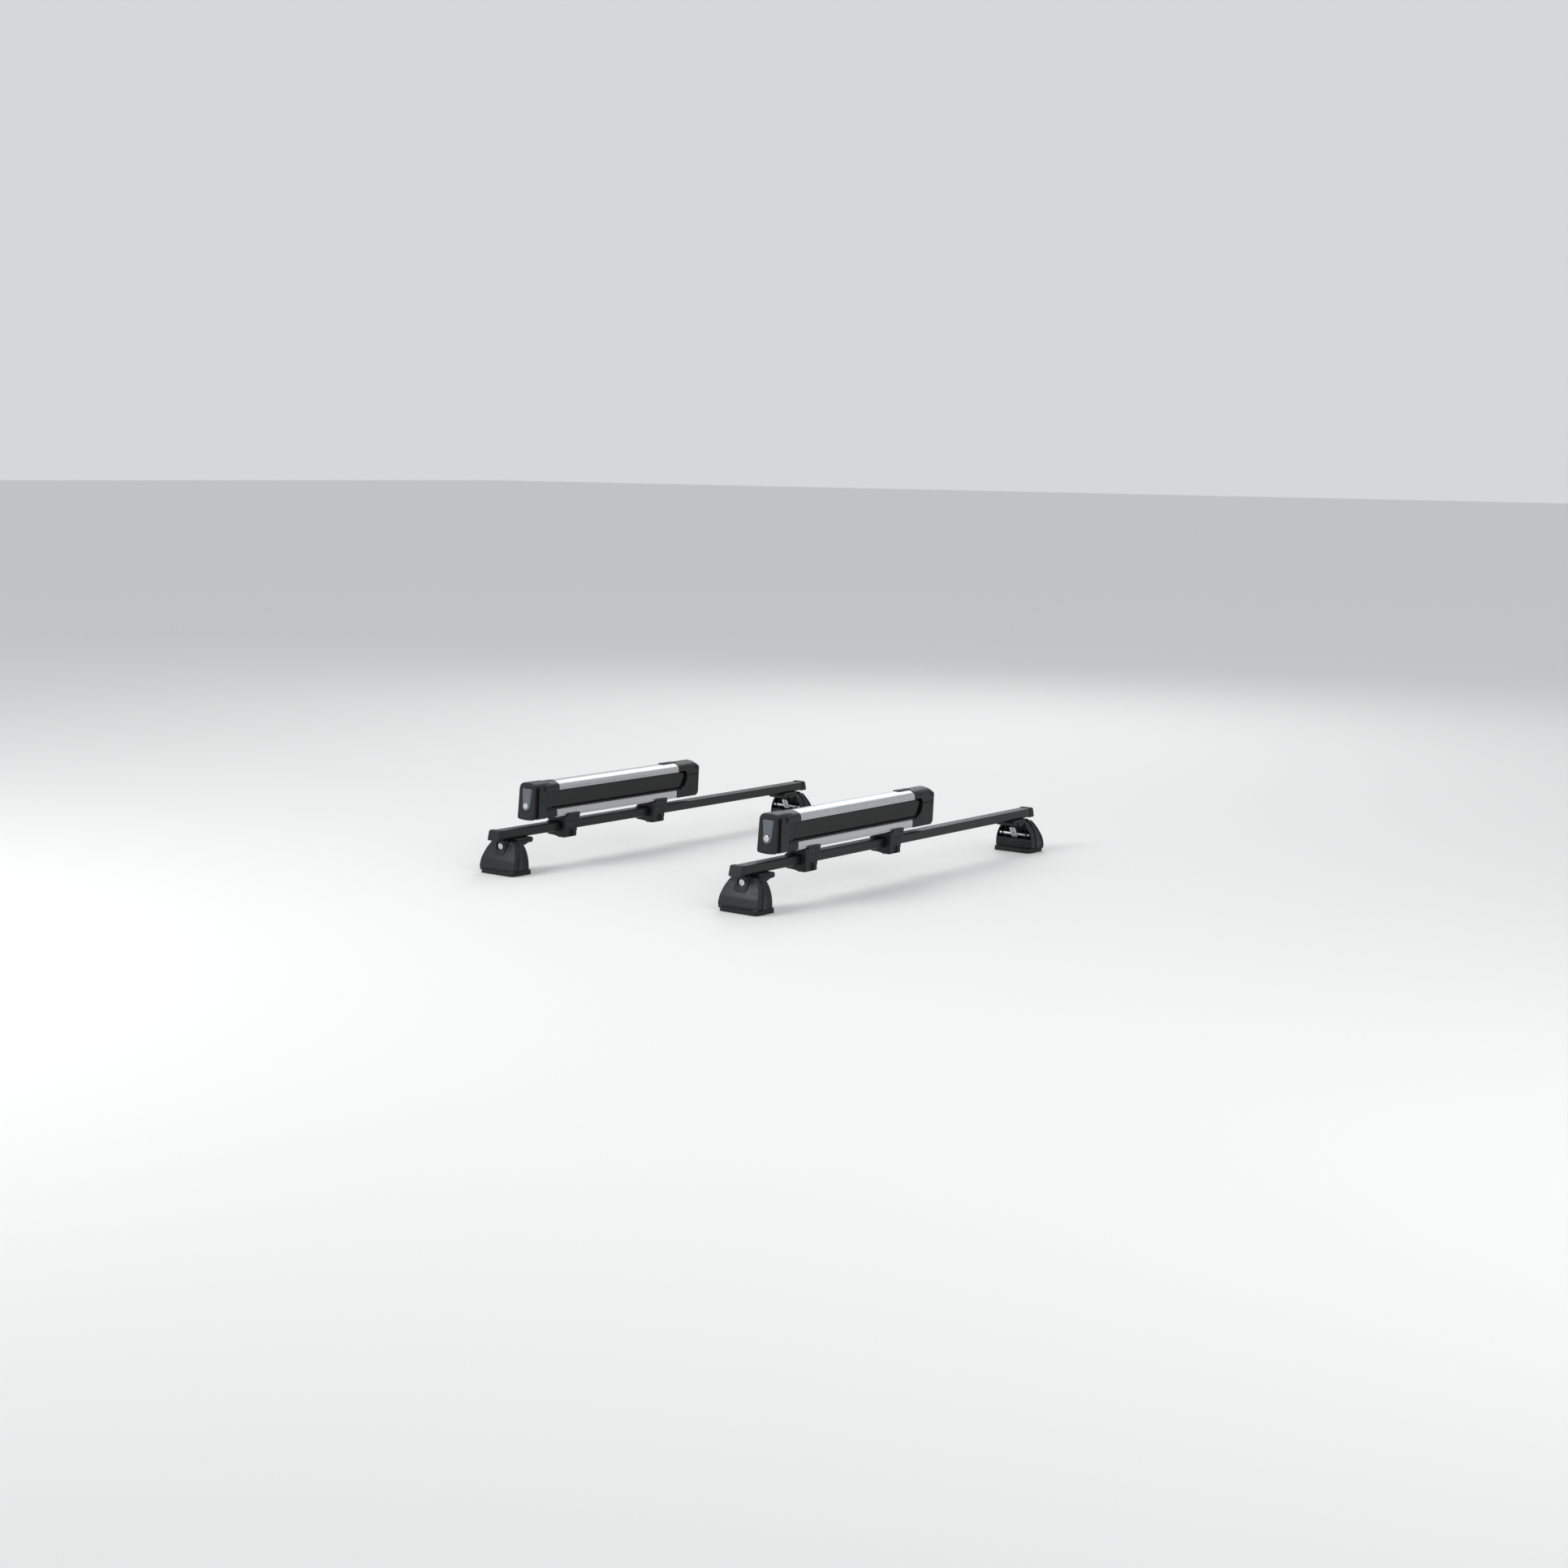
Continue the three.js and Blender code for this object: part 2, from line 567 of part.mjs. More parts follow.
function pushButtonGeometry() {
  const front = HOUSING.front - BUTTON.proud;
  const key = leaned(alongY(shield(0), front, front + BUTTON.depth, 7), HOUSING.lean, HOUSING.foot);
  const wellOutline = disc(0, BUTTON.lockZ, CARRIER_LOCK.radius + GAP);
  const well = alongY(wellOutline, front - 10, lockFace() + CARRIER_LOCK.depth, 10);
  return cut(key, well);
}

// Where the face of the carrier lock stands, a little proud of the leaning button.
function lockFace() {
  const rise = BUTTON.lockZ - HOUSING.foot;
  return HOUSING.front - BUTTON.proud + HOUSING.lean * rise - CARRIER_LOCK.proud;
}

function carrierLockGeometry() {
  const face = lockFace();
  const { radius, depth } = CARRIER_LOCK;
  const barrel = alongY(disc(0, BUTTON.lockZ, radius), face, face + depth - GAP, 10);
  return cut(barrel, keyway(face - 1, face + KEYWAY.depth, BUTTON.lockZ));
}

// The hook hangs from a pin that shows on both sides of the housing.
function latchHookGeometry() {
  const { y, z, boss, half, pin, toeZ, toeY } = HOOK;
  const { root, back, toe, toeDepth } = HOOK_LEVER;
  const side = polygon([
    [y - root, z],
    [y - back, toeZ - toe],
    [toeY - toeDepth, toeZ - toe],
    [toeY, toeZ],
    [toeY, toeZ + toe],
    [y + root / 2, toeZ + toe],
    [y + root, z],
  ]);
  const lever = alongX(side, -half, half);
  const eye = alongX(disc(y, z, boss), -half, half, 6);
  const shaft = alongX(disc(y, z, pin), -CARRIER_HALF + 4, CARRIER_HALF - 4, 6);
  return join(lever, eye, shaft);
}

function strikerCapGeometry() {
  const { start, bottom, half, chamfer, pocket, pocketDrop } = STRIKER;
  const end = BASE.start - GAP;
  const side = polygon([
    [start, bottom + chamfer],
    [start + chamfer, bottom],
    [end, bottom],
    [end, BASE.top],
    [start, BASE.top],
  ]);
  const plug = basePlug(end - 1, BASE.start + PLUG_LENGTH);
  const room = HOOK_ROOM.half;
  const mouth = box(-room, start - 1, HOOK.toeZ - pocketDrop, room, start + pocket, BASE.top + 1);
  return cut(join(alongX(side, -half, half), plug), mouth);
}

// ---------- clamp brackets: x across the bar, y from the bracket's near edge ----------

// Outline of the tab that stands beside the lower arm, shifted away from the near end.
function tabSide() {
  const { length, tabTop, tabShift } = BRACKET;
  const far = length + tabShift;
  return polygon([
    [2, 10],
    [length + 2, 10],
    [far, tabTop - 2],
    [far - 2, tabTop],
    [tabShift, tabTop],
    [4, BASE.bottom - GAP],
  ]);
}

// The fixed half: saddle over the bar, tab beside the lower arm, and a block down the front of the bar.
function bracketGeometry() {
  const { length, outer, jawBottom, split } = BRACKET;
  const barTop = BAR_HEIGHT / 2 + GAP;
  const armBottom = BASE.bottom - GAP;
  const barFront = BAR_WIDTH / 2 + GAP;
  const end = polygon([
    [-CARRIER_HALF, armBottom],
    [-CARRIER_HALF, barTop + 4],
    [-CARRIER_HALF + 7, barTop],
    [barFront, barTop],
    [barFront, -barTop],
    [split + GAP, -barTop],
    [split + GAP, jawBottom],
    [outer - 2, jawBottom],
    [outer, jawBottom + 2],
    [outer, armBottom],
  ]);
  const body = alongY(end, 0, length);
  const tab = alongX(tabSide(), CARRIER_HALF + GAP, outer);
  const recess = alongX(disc(length / 2, BOLT.z, BOLT.recess), outer - BOLT.recessDepth, PAST, 7);
  const bore = alongX(disc(length / 2, BOLT.z, BOLT.radius + GAP), 0, PAST, 6);
  return cut(join(body, tab), recess, bore);
}

// The moving half: it hooks round the back of the bar and is drawn in by the bolt.
function jawGeometry() {
  const { length, jawBottom, split } = BRACKET;
  const { outer, chamfer, shoulder, belly } = JAW;
  const barTop = BAR_HEIGHT / 2 + GAP;
  const barBack = -BAR_WIDTH / 2 - GAP;
  const tip = BAR_HEIGHT / 2;
  const floor = BOLT.z - belly;
  const shape = new THREE.Shape();
  shape.moveTo(split, -barTop);
  shape.lineTo(barBack, -barTop);
  shape.lineTo(barBack, barTop - chamfer);
  shape.lineTo(barBack - chamfer, tip);
  shape.lineTo(outer + 4, tip);
  shape.lineTo(outer, barTop - 5);
  shape.lineTo(outer, -barTop);
  shape.quadraticCurveTo(outer + 2, floor - 1, outer + shoulder, floor);
  shape.quadraticCurveTo(0, floor, split, jawBottom);
  shape.closePath();
  const body = alongY(shape, 1, length - 1, 4);
  const bore = alongX(disc(length / 2, BOLT.z, BOLT.radius + GAP), -PAST, PAST, 6);
  return cut(body, bore);
}

function boltGeometry() {
  const middle = BRACKET.length / 2;
  const seat = BRACKET.outer - BOLT.recessDepth + GAP;
  const shank = alongX(disc(middle, BOLT.z, BOLT.radius), BOLT.tip, seat + 1, 6);
  const corners = [0, 1, 2, 3, 4, 5].map((i) => {
    const angle = (i * Math.PI) / 3;
    return [middle + BOLT.head * Math.cos(angle), BOLT.z + BOLT.head * Math.sin(angle)];
  });
  return join(shank, alongX(polygon(corners), seat, seat + BOLT.headLength));
}

// ---------- assembly ----------

const rack = new THREE.Group();

function place(parent, name, slot, geometry) {
  const mesh = new THREE.Mesh(geometry, new THREE.MeshStandardMaterial(SLOTS[slot]));
  mesh.name = name;
  parent.add(mesh);
}

function groupAt(x, y, z, turn = 0) {
  const group = new THREE.Group();
  group.position.set(x, y, z);
  group.rotation.z = turn;
  rack.add(group);
  return group;
}

const bars = [
  ["front", BAR_SPACING / 2],
  ["rear", -BAR_SPACING / 2],
];
const sides = [
  ["left", 0],
  ["right", Math.PI],
];

for (const [end, x] of bars) {
  place(groupAt(x, 0, BAR_Z), `${end}_bar`, "bar_coating", barGeometry());

  for (const [side, turn] of sides) {
    const name = `${end}_${side}`;
    place(groupAt(x, 0, BAR_Z, turn), `${name}_end_cap`, "black_plastic", endCapGeometry());
    const foot = groupAt(x, 0, 0, turn);
    place(foot, `${name}_foot_frame`, "black_plastic", footFrameGeometry());
    place(foot, `${name}_foot_cover`, "cover_plastic", footCoverGeometry());
    place(foot, `${name}_foot_lock`, "lock_chrome", footLockGeometry());
    place(foot, `${name}_foot_pad`, "rubber", footPadGeometry());
    place(foot, `${name}_clamp_strap`, "zinc_steel", clampStrapGeometry());
  }

  const carrier = groupAt(x, 0, BAR_Z);
  place(carrier, `${end}_upper_profile`, "anodised_aluminium", upperProfileGeometry());
  place(carrier, `${end}_upper_rubber`, "rubber", upperRubberGeometry());
  place(carrier, `${end}_lower_profile`, "anodised_aluminium", lowerProfileGeometry());
  place(carrier, `${end}_lower_rubber`, "rubber", lowerRubberGeometry());
  place(carrier, `${end}_hinge_cap`, "black_plastic", hingeCapGeometry());
  place(carrier, `${end}_hinge_tower`, "black_plastic", hingeTowerGeometry());
  place(carrier, `${end}_latch_housing`, "cover_plastic", latchHousingGeometry());
  place(carrier, `${end}_push_button`, "button_plastic", pushButtonGeometry());
  place(carrier, `${end}_carrier_lock`, "lock_chrome", carrierLockGeometry());
  place(carrier, `${end}_latch_hook`, "zinc_steel", latchHookGeometry());
  place(carrier, `${end}_striker_cap`, "black_plastic", strikerCapGeometry());

  BRACKET_Y.forEach((y, index) => {
    const clamp = groupAt(x, y, BAR_Z);
    const name = `${end}_clamp_${index + 1}`;
    place(clamp, `${name}_bracket`, "black_plastic", bracketGeometry());
    place(clamp, `${name}_jaw`, "black_plastic", jawGeometry());
    place(clamp, `${name}_bolt`, "zinc_steel", boltGeometry());
  });
}

export default rack;
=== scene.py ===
# %% [markdown]
# # A roof ski rack, dressed around its frame
#
# The real thing is two square steel bars on four locking feet. Above the bars sit two ski carriers: each is a
# pair of aluminium profiles with rubber strips, hinged at one end and latched at the other.
#
# The frame gives every moving piece its place. Here each piece gets its true curves, rounded edges and finish.
# Shapes are worked out in millimetres with numpy, and become metres when they are put in their place.

import json
import math

import bmesh
import bpy
import numpy as np
from mathutils import Matrix, Vector

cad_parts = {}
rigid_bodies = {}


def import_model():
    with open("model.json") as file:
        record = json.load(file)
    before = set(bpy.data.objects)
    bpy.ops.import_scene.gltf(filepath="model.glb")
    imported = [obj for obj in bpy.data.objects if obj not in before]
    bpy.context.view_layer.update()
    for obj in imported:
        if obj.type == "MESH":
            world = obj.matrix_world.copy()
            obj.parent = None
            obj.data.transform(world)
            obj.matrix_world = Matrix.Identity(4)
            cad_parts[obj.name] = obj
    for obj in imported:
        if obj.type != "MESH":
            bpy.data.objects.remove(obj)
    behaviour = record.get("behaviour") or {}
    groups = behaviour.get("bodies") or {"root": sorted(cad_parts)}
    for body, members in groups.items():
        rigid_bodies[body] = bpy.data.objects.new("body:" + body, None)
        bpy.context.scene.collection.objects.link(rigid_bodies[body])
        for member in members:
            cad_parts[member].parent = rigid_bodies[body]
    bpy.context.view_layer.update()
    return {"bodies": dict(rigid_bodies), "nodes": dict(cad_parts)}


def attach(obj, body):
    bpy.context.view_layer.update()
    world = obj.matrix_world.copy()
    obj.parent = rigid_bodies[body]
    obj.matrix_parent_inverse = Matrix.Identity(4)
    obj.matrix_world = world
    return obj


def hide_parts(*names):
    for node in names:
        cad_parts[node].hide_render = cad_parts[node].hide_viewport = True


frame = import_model()
nodes = frame["nodes"]
owner = {empty.name: body for body, empty in frame["bodies"].items()}
MM = 0.001

# %% [markdown]
# ## The camera
#
# A viewpoint is three turns and a distance. The camera looks along a line that passes a little above and beside
# the middle of the bars, from the front right of the car, almost level with the rack.

# %% Camera
AZIMUTH, ELEVATION, ROLL = np.radians([37.694, 7.786, 0.699])
DISTANCE = 5.8738
AIM_RIGHT, AIM_UP = 0.02996, 0.09603

back = Vector(
    (
        math.sin(AZIMUTH) * math.cos(ELEVATION),
        -math.cos(AZIMUTH) * math.cos(ELEVATION),
        math.sin(ELEVATION),
    )
)
level = (-back).cross(Vector((0, 0, 1))).normalized()
upright = level.cross(-back)
right = level * math.cos(ROLL) + upright * math.sin(ROLL)
up = upright * math.cos(ROLL) - level * math.sin(ROLL)
aim = Vector((0, 0, 0.095)) + AIM_RIGHT * right + AIM_UP * up

camera = bpy.data.objects.new("camera", bpy.data.cameras.new("camera"))
camera.data.lens = 54.87
camera.data.sensor_width = 36
camera.data.clip_end = 100
camera.matrix_world = (
    Matrix.Translation(aim + DISTANCE * back) @ Matrix((right, up, back)).transposed().to_4x4()
)
bpy.context.scene.collection.objects.link(camera)
bpy.context.scene.camera = camera
print("camera at", np.round(camera.location, 3).tolist())

# %% [markdown]
# ## Finishes
#
# A finish is a small network of nodes. One helper adds a node, sets it up and links it, so that each material
# reads as a list of what it does. All patterns read Object coordinates, which are metres here, so a scale of
# 1000 divided by a size in millimetres draws the pattern at that size.


# %% Node helpers
def linear(hexcode):
    """An sRGB hex colour as linear light: each channel is straightened by the sRGB curve."""
    channel = np.array([int(hexcode[i : i + 2], 16) for i in (1, 3, 5)]) / 255
    straight = np.where(channel <= 0.04045, channel / 12.92, ((channel + 0.055) / 1.055) ** 2.4)
    return (*straight.tolist(), 1.0)


def add(tree, kind, sockets=None, **settings):
    """Adds a node. A socket takes a plain value, or another node's output, which is linked to it."""
    made = tree.nodes.new("ShaderNode" + kind)
    for key, value in settings.items():
        setattr(made, key, value)
    for key, value in (sockets or {}).items():
        if isinstance(value, bpy.types.NodeSocket):
            tree.links.new(value, made.inputs[key])
        else:
            made.inputs[key].default_value = value
    return made


def every(millimetres):
    """The scale of a noise whose features are about this far apart."""
    return 1000 / millimetres


def new_tree(name):
    """A material of this name with an empty tree, and its Object coordinates."""
    material = bpy.data.materials.new(name)
    material.use_nodes = True
    tree = material.node_tree
    tree.nodes.clear()
    return material, tree, add(tree, "TexCoord").outputs["Object"]


def close_tree(tree, surface):
    """Links the finished shader to the output."""
    add(tree, "OutputMaterial", {"Surface": surface.outputs["BSDF"]})


# %% [markdown]
# ### Moulded plastics
#
# Most of the rack is glass-filled nylon and ABS, injection moulded in tools with a fine spark-eroded texture.
# It gives the eye a near-black satin surface: a faint grain, a slow change in gloss where the melt flowed, and
# edges that hands and straps have rubbed a little lighter. The texture scatters much of the gloss, so the
# specular level is set low.


# %% Moulded plastics
def moulded(name, colour, light, roughness, grain_mm=0.9, grain_depth_mm=0.05, worn=0.35):
    """Moulded plastic: a slow mottle between two shades, paler on convex edges, with a fine grain as bump."""
    material, tree, place = new_tree(name)
    mottle = add(tree, "TexNoise", {"Vector": place, "Scale": every(35), "Detail": 4.0})
    grain = add(tree, "TexNoise", {"Vector": place, "Scale": every(grain_mm), "Detail": 2.0})
    scuff = add(tree, "TexNoise", {"Vector": place, "Scale": every(9), "Detail": 6.0, "Roughness": 0.7})
    body = add(tree, "MixRGB", {"Color1": linear(colour), "Color2": linear(light), "Fac": mottle.outputs[0]})
    rim = add(
        tree,
        "MapRange",
        {
            "Value": add(tree, "NewGeometry").outputs["Pointiness"],
            "From Min": 0.53,
            "From Max": 0.62,
            "To Max": worn,
        },
    )
    patchy = add(tree, "Math", {0: rim.outputs[0], 1: scuff.outputs[0]}, operation="MULTIPLY")
    rubbed = add(
        tree, "MixRGB", {"Fac": patchy.outputs[0], "Color1": body.outputs[0], "Color2": linear("#55585a")}
    )
    gloss = add(
        tree,
        "MapRange",
        {
            "Value": scuff.outputs[0],
            "From Min": 0.3,
            "From Max": 0.7,
            "To Min": roughness - 0.07,
            "To Max": roughness + 0.08,
        },
    )
    bump = add(tree, "Bump", {"Height": grain.outputs[0], "Distance": grain_depth_mm * MM, "Strength": 0.8})
    surface = add(
        tree,
        "BsdfPrincipled",
        {"Base Color": rubbed.outputs[0], "Roughness": gloss.outputs[0], "Normal": bump.outputs[0], "IOR": 1.5},
    )
    surface.inputs["Specular IOR Level"].default_value = 0.3
    close_tree(tree, surface)
    return material


black_plastic = moulded("black glass-filled nylon, moulded", "#0f1011", "#151618", 0.44)
cover_plastic = moulded("charcoal ABS, moulded", "#17181a", "#1d1e20", 0.42)
button_plastic = moulded("grey ABS, moulded", "#545b63", "#5f666e", 0.36, grain_mm=0.6)
print("three moulded plastics")

# %% [markdown]
# ### Rubber, coated steel and metals
#
# The strips and pads are extruded and moulded EPDM: very dark, dull, and a little dusty. The bars are steel
# tube under a black polymer coat, which shows a shallow orange peel. The profiles are extruded aluminium,
# brushed by the die along their length and then anodised. Pins and bolts are zinc plated, locks are chromed.


# %% Rubber and bar coating
def rubber_finish(name, along_y):
    """Rubber with dust in its low places; an extruded strip also has fine lines along Y."""
    material, tree, place = new_tree(name)
    stretch = (every(1.2), every(120), every(1.2)) if along_y else (every(1.4),) * 3
    drawn = add(tree, "Mapping", {"Vector": place, "Scale": stretch})
    lines = add(tree, "TexNoise", {"Vector": drawn.outputs[0], "Scale": 1.0, "Detail": 3.0})
    dust = add(tree, "TexNoise", {"Vector": place, "Scale": every(24), "Detail": 8.0, "Roughness": 0.65})
    veil = add(tree, "MapRange", {"Value": dust.outputs[0], "From Min": 0.45, "From Max": 0.8, "To Max": 0.22})
    shade = add(
        tree,
        "MixRGB",
        {"Fac": veil.outputs[0], "Color1": linear("#0b0b0c"), "Color2": linear("#1d1d1e")},
    )
    dull = add(tree, "MapRange", {"Value": lines.outputs[0], "To Min": 0.58, "To Max": 0.82})
    bump = add(tree, "Bump", {"Height": lines.outputs[0], "Distance": 0.12 * MM, "Strength": 0.7})
    surface = add(
        tree,
        "BsdfPrincipled",
        {"Base Color": shade.outputs[0], "Roughness": dull.outputs[0], "Normal": bump.outputs[0], "IOR": 1.52},
    )
    close_tree(tree, surface)
    return material


strip_rubber = rubber_finish("black EPDM rubber, extruded", True)
pad_rubber = rubber_finish("black EPDM rubber, moulded", False)

bar_coating, tree, place = new_tree("black polymer coat on steel")
peel = add(tree, "TexNoise", {"Vector": place, "Scale": every(2.2), "Detail": 2.0})
handled = add(tree, "TexNoise", {"Vector": place, "Scale": every(60), "Detail": 6.0, "Roughness": 0.6})
shade = add(
    tree, "MixRGB", {"Fac": handled.outputs[0], "Color1": linear("#0d0e0f"), "Color2": linear("#141517")}
)
gloss = add(tree, "MapRange", {"Value": handled.outputs[0], "To Min": 0.3, "To Max": 0.48})
bump = add(tree, "Bump", {"Height": peel.outputs[0], "Distance": 0.06 * MM, "Strength": 0.6})
surface = add(
    tree,
    "BsdfPrincipled",
    {"Base Color": shade.outputs[0], "Roughness": gloss.outputs[0], "Normal": bump.outputs[0], "IOR": 1.5},
)
surface.inputs["Specular IOR Level"].default_value = 0.35
close_tree(tree, surface)
print("rubber and bar coating")


# %% Metals
def metal(name, colour, tint, low, high, stretch, depth_mm):
    """A metal whose gloss runs from low to high roughness over a stretched noise, which is also its bump."""
    material, tree, place = new_tree(name)
    drawn = add(tree, "Mapping", {"Vector": place, "Scale": stretch})
    lines = add(tree, "TexNoise", {"Vector": drawn.outputs[0], "Scale": 1.0, "Detail": 4.0, "Roughness": 0.6})
    patch = add(tree, "TexNoise", {"Vector": place, "Scale": every(18), "Detail": 4.0})
    mixed = add(tree, "MixRGB", {"Fac": patch.outputs[0], "Color1": linear(colour), "Color2": linear(tint)})
    gloss = add(tree, "MapRange", {"Value": lines.outputs[0], "To Min": low, "To Max": high})
    bump = add(tree, "Bump", {"Height": lines.outputs[0], "Distance": depth_mm * MM, "Strength": 0.5})
    surface = add(
        tree,
        "BsdfPrincipled",
        {
            "Base Color": mixed.outputs[0],
            "Metallic": 1.0,
            "Roughness": gloss.outputs[0],
            "Normal": bump.outputs[0],
        },
    )
    close_tree(tree, surface)
    return material


die_lines = (every(0.8), every(300), every(0.8))
aluminium = metal("aluminium profile, anodised", "#c3c5c8", "#b4b7ba", 0.26, 0.44, die_lines, 0.02)
chrome = metal("zinc die casting, chromed", "#d9dbdd", "#cfd1d3", 0.1, 0.22, (every(2),) * 3, 0.01)
zinc = metal("steel, zinc plated", "#c4c5c3", "#b9bcc4", 0.28, 0.46, (every(1.5),) * 3, 0.02)
black_steel = metal("steel, black passivated", "#3c3d3f", "#303133", 0.3, 0.5, (every(1.5),) * 3, 0.02)
print("aluminium, chrome, zinc and black steel")

# %% [markdown]
# ## How the shapes are made
#
# Nearly every piece here was extruded or moulded, so it can be told as an outline that is carried along an axis
# and drawn in where an edge is rounded. An outline is an array of points, and so is every step below: no vertex
# is placed one at a time.


# %% Outlines
def rounded(corners, radius=0.0, steps=5, depth=0.0):
    """An outline with rounded corners, drawn in by depth. Each corner moves along the bisector of its two sides.
    An outer corner's radius shrinks by the depth, an inner corner's grows by it, and a sharp corner stays sharp.
    An arc starts the radius times the tangent of half the turn before its corner."""
    corners = np.array(corners, float)
    radius = np.broadcast_to(np.asarray(radius, float), len(corners))
    after = np.roll(corners, -1, axis=0) - corners
    after /= np.linalg.norm(after, axis=1, keepdims=True)
    before = np.roll(after, 1, axis=0)
    turn = np.arctan2(before[:, 0] * after[:, 1] - before[:, 1] * after[:, 0], (before * after).sum(axis=1))
    inward = np.column_stack([-before[:, 1], before[:, 0]])
    bisector = inward + np.column_stack([-after[:, 1], after[:, 0]])
    widen = np.maximum((bisector * inward).sum(axis=1), 0.3)
    corners = corners + bisector * (depth / widen)[:, None]
    reach = np.where(radius > 0, np.maximum(radius - np.sign(turn) * depth, 0), 0)
    count = np.where(radius > 0, steps + 1, 1)
    pick = np.repeat(np.arange(len(corners)), count)
    share = (np.arange(len(pick)) - np.repeat(np.cumsum(count) - count, count)) / steps
    begin = (corners - before * (reach * np.tan(np.abs(turn) / 2))[:, None])[pick]
    arm = (inward * (np.sign(turn) * reach)[:, None])[pick]
    angle = (turn[pick] * share)[:, None]
    across = np.column_stack([-arm[:, 1], arm[:, 0]])
    return begin + arm - arm * np.cos(angle) - across * np.sin(angle)


def block(width, height, x=0.0, z=0.0):
    """The four corners of a rectangle about a centre."""
    return np.array([[-1, -1], [1, -1], [1, 1], [-1, 1]]) * (width / 2, height / 2) + (x, z)


def arc(centre, radius, start, end, steps=16):
    """Points on a circle between two angles in degrees."""
    angle = np.radians(np.linspace(start, end, steps + 1))
    return np.array(centre) + radius * np.column_stack([np.cos(angle), np.sin(angle)])


def bend(start, control, end, steps=8):
    """A quadratic curve that leaves start towards the control point and arrives at end from it."""
    t = np.linspace(0, 1, steps + 1)[:, None]
    return (1 - t) ** 2 * np.array(start) + 2 * t * (1 - t) * np.array(control) + t**2 * np.array(end)


def inset(outline, depth):
    """A smooth outline drawn in, point by point, so that rings keep their number of points."""
    return rounded(outline, depth=depth)


def spokes(outline, centre, angles):
    """Where rays from the centre cross the outline: the farthest crossing of each ray with any side."""
    start = outline - centre
    side = np.roll(start, -1, axis=0) - start
    ray = np.column_stack([np.cos(angles), np.sin(angles)])
    turn = ray[:, None, 0] * side[None, :, 1] - ray[:, None, 1] * side[None, :, 0]
    turn = np.where(np.abs(turn) < 1e-12, 1e-12, turn)
    reach = (start[:, 0] * side[:, 1] - start[:, 1] * side[:, 0])[None, :] / turn
    along = (start[None, :, 0] * ray[:, None, 1] - start[None, :, 1] * ray[:, None, 0]) / turn
    met = np.where((along > -1e-9) & (along < 1 + 1e-9) & (reach > 0), reach, 0).max(axis=1)
    return np.array(centre) + ray * met[:, None]


def ray_angles(centre, *outlines, count=180):
    """The angles of every corner of the outlines, so that none is cut off, and even ones in the gaps between."""
    found = [np.arctan2(*(outline - centre).T[::-1]) for outline in outlines]
    corners = np.sort(np.concatenate(found))
    corners = corners[np.diff(corners, prepend=corners[-1] - 2 * np.pi) > 2e-3]
    even = np.linspace(-np.pi, np.pi, count, endpoint=False)
    gap = np.abs(np.angle(np.exp(1j * (even[:, None] - corners[None, :])))).min(axis=1)
    return np.sort(np.concatenate([corners, even[gap > np.pi / count]]))


# %% Skins
AXES = {"X": [2, 0, 1], "Y": [0, 2, 1], "Z": [0, 1, 2]}


def skin(rings, joined=False):
    """Points, and groups of faces between neighbouring rings. The last ring meets the first, or each end gets a
    face."""
    count, around = rings.shape[:2]
    here = np.arange(around)
    beside = np.roll(here, -1)
    row = np.arange(count if joined else count - 1)[:, None] * around
    ahead = (row + around) % (count * around)
    sides = np.stack([row + here, row + beside, ahead + beside, ahead + here], axis=-1).reshape(-1, 4)
    ends = [] if joined else [here[::-1], here + (count - 1) * around]
    return rings.reshape(-1, 3), [sides, *ends]


def carried(corners, radius, profile, axis="Y", steps=5):
    """Carries a rounded outline along an axis. Each row of the profile says how far along, and how far drawn in
    it is there."""
    flat = [rounded(corners, radius, steps, depth) for _, depth in profile]
    rings = [np.column_stack([ring, np.full(len(ring), row[0])]) for ring, row in zip(flat, profile)]
    return skin(np.array(rings)[..., AXES[axis]])


def edges(low, high, at_low, at_high=None, steps=3):
    """A profile from low to high whose two ends are rounded by quarter circles."""
    at_high = at_low if at_high is None else at_high
    turn = np.linspace(0, np.pi / 2, steps + 1)
    first = np.column_stack([low + at_low * (1 - np.cos(turn)), at_low * (1 - np.sin(turn))])
    last = np.column_stack([high - at_high * (1 - np.cos(turn)), at_high * (1 - np.sin(turn))])[::-1]
    return np.concatenate([first, last])


def slab(corners, radius, low, high, edge=0.8, axis="Y", steps=5):
    """A rounded outline carried from low to high, with both its edges rounded too."""
    return carried(corners, radius, edges(low, high, edge), axis, steps)


def lathe(profile, centre, axis="X", sides=48, joined=False):
    """A profile of distance along the axis and radius, turned about the axis through the centre."""
    circle = arc((0, 0), 1.0, 0, 360, sides)[:-1]
    rings = [np.column_stack([circle * radius + centre, np.full(sides, at)]) for at, radius in profile]
    return skin(np.array(rings)[..., AXES[axis]], joined)


def over(ring, depth):
    """Puts a flat ring of x and z at a depth along Y, which may differ from point to point."""
    return np.column_stack([ring[:, 0], np.broadcast_to(depth, len(ring)), ring[:, 1]])


# %% [markdown]
# ## From arrays to pieces
#
# A model is one closed mesh in millimetres, made once. Where two shapes meet, a Boolean joins or cuts them, which
# gives one clean skin. A piece is a copy of the model in its place, riding on its body. Edges sharper than
# 38 degrees stay crisp and the rest are smoothed, and a Weighted Normal modifier keeps large faces flat.


# %% Models
SHARP = math.radians(38)


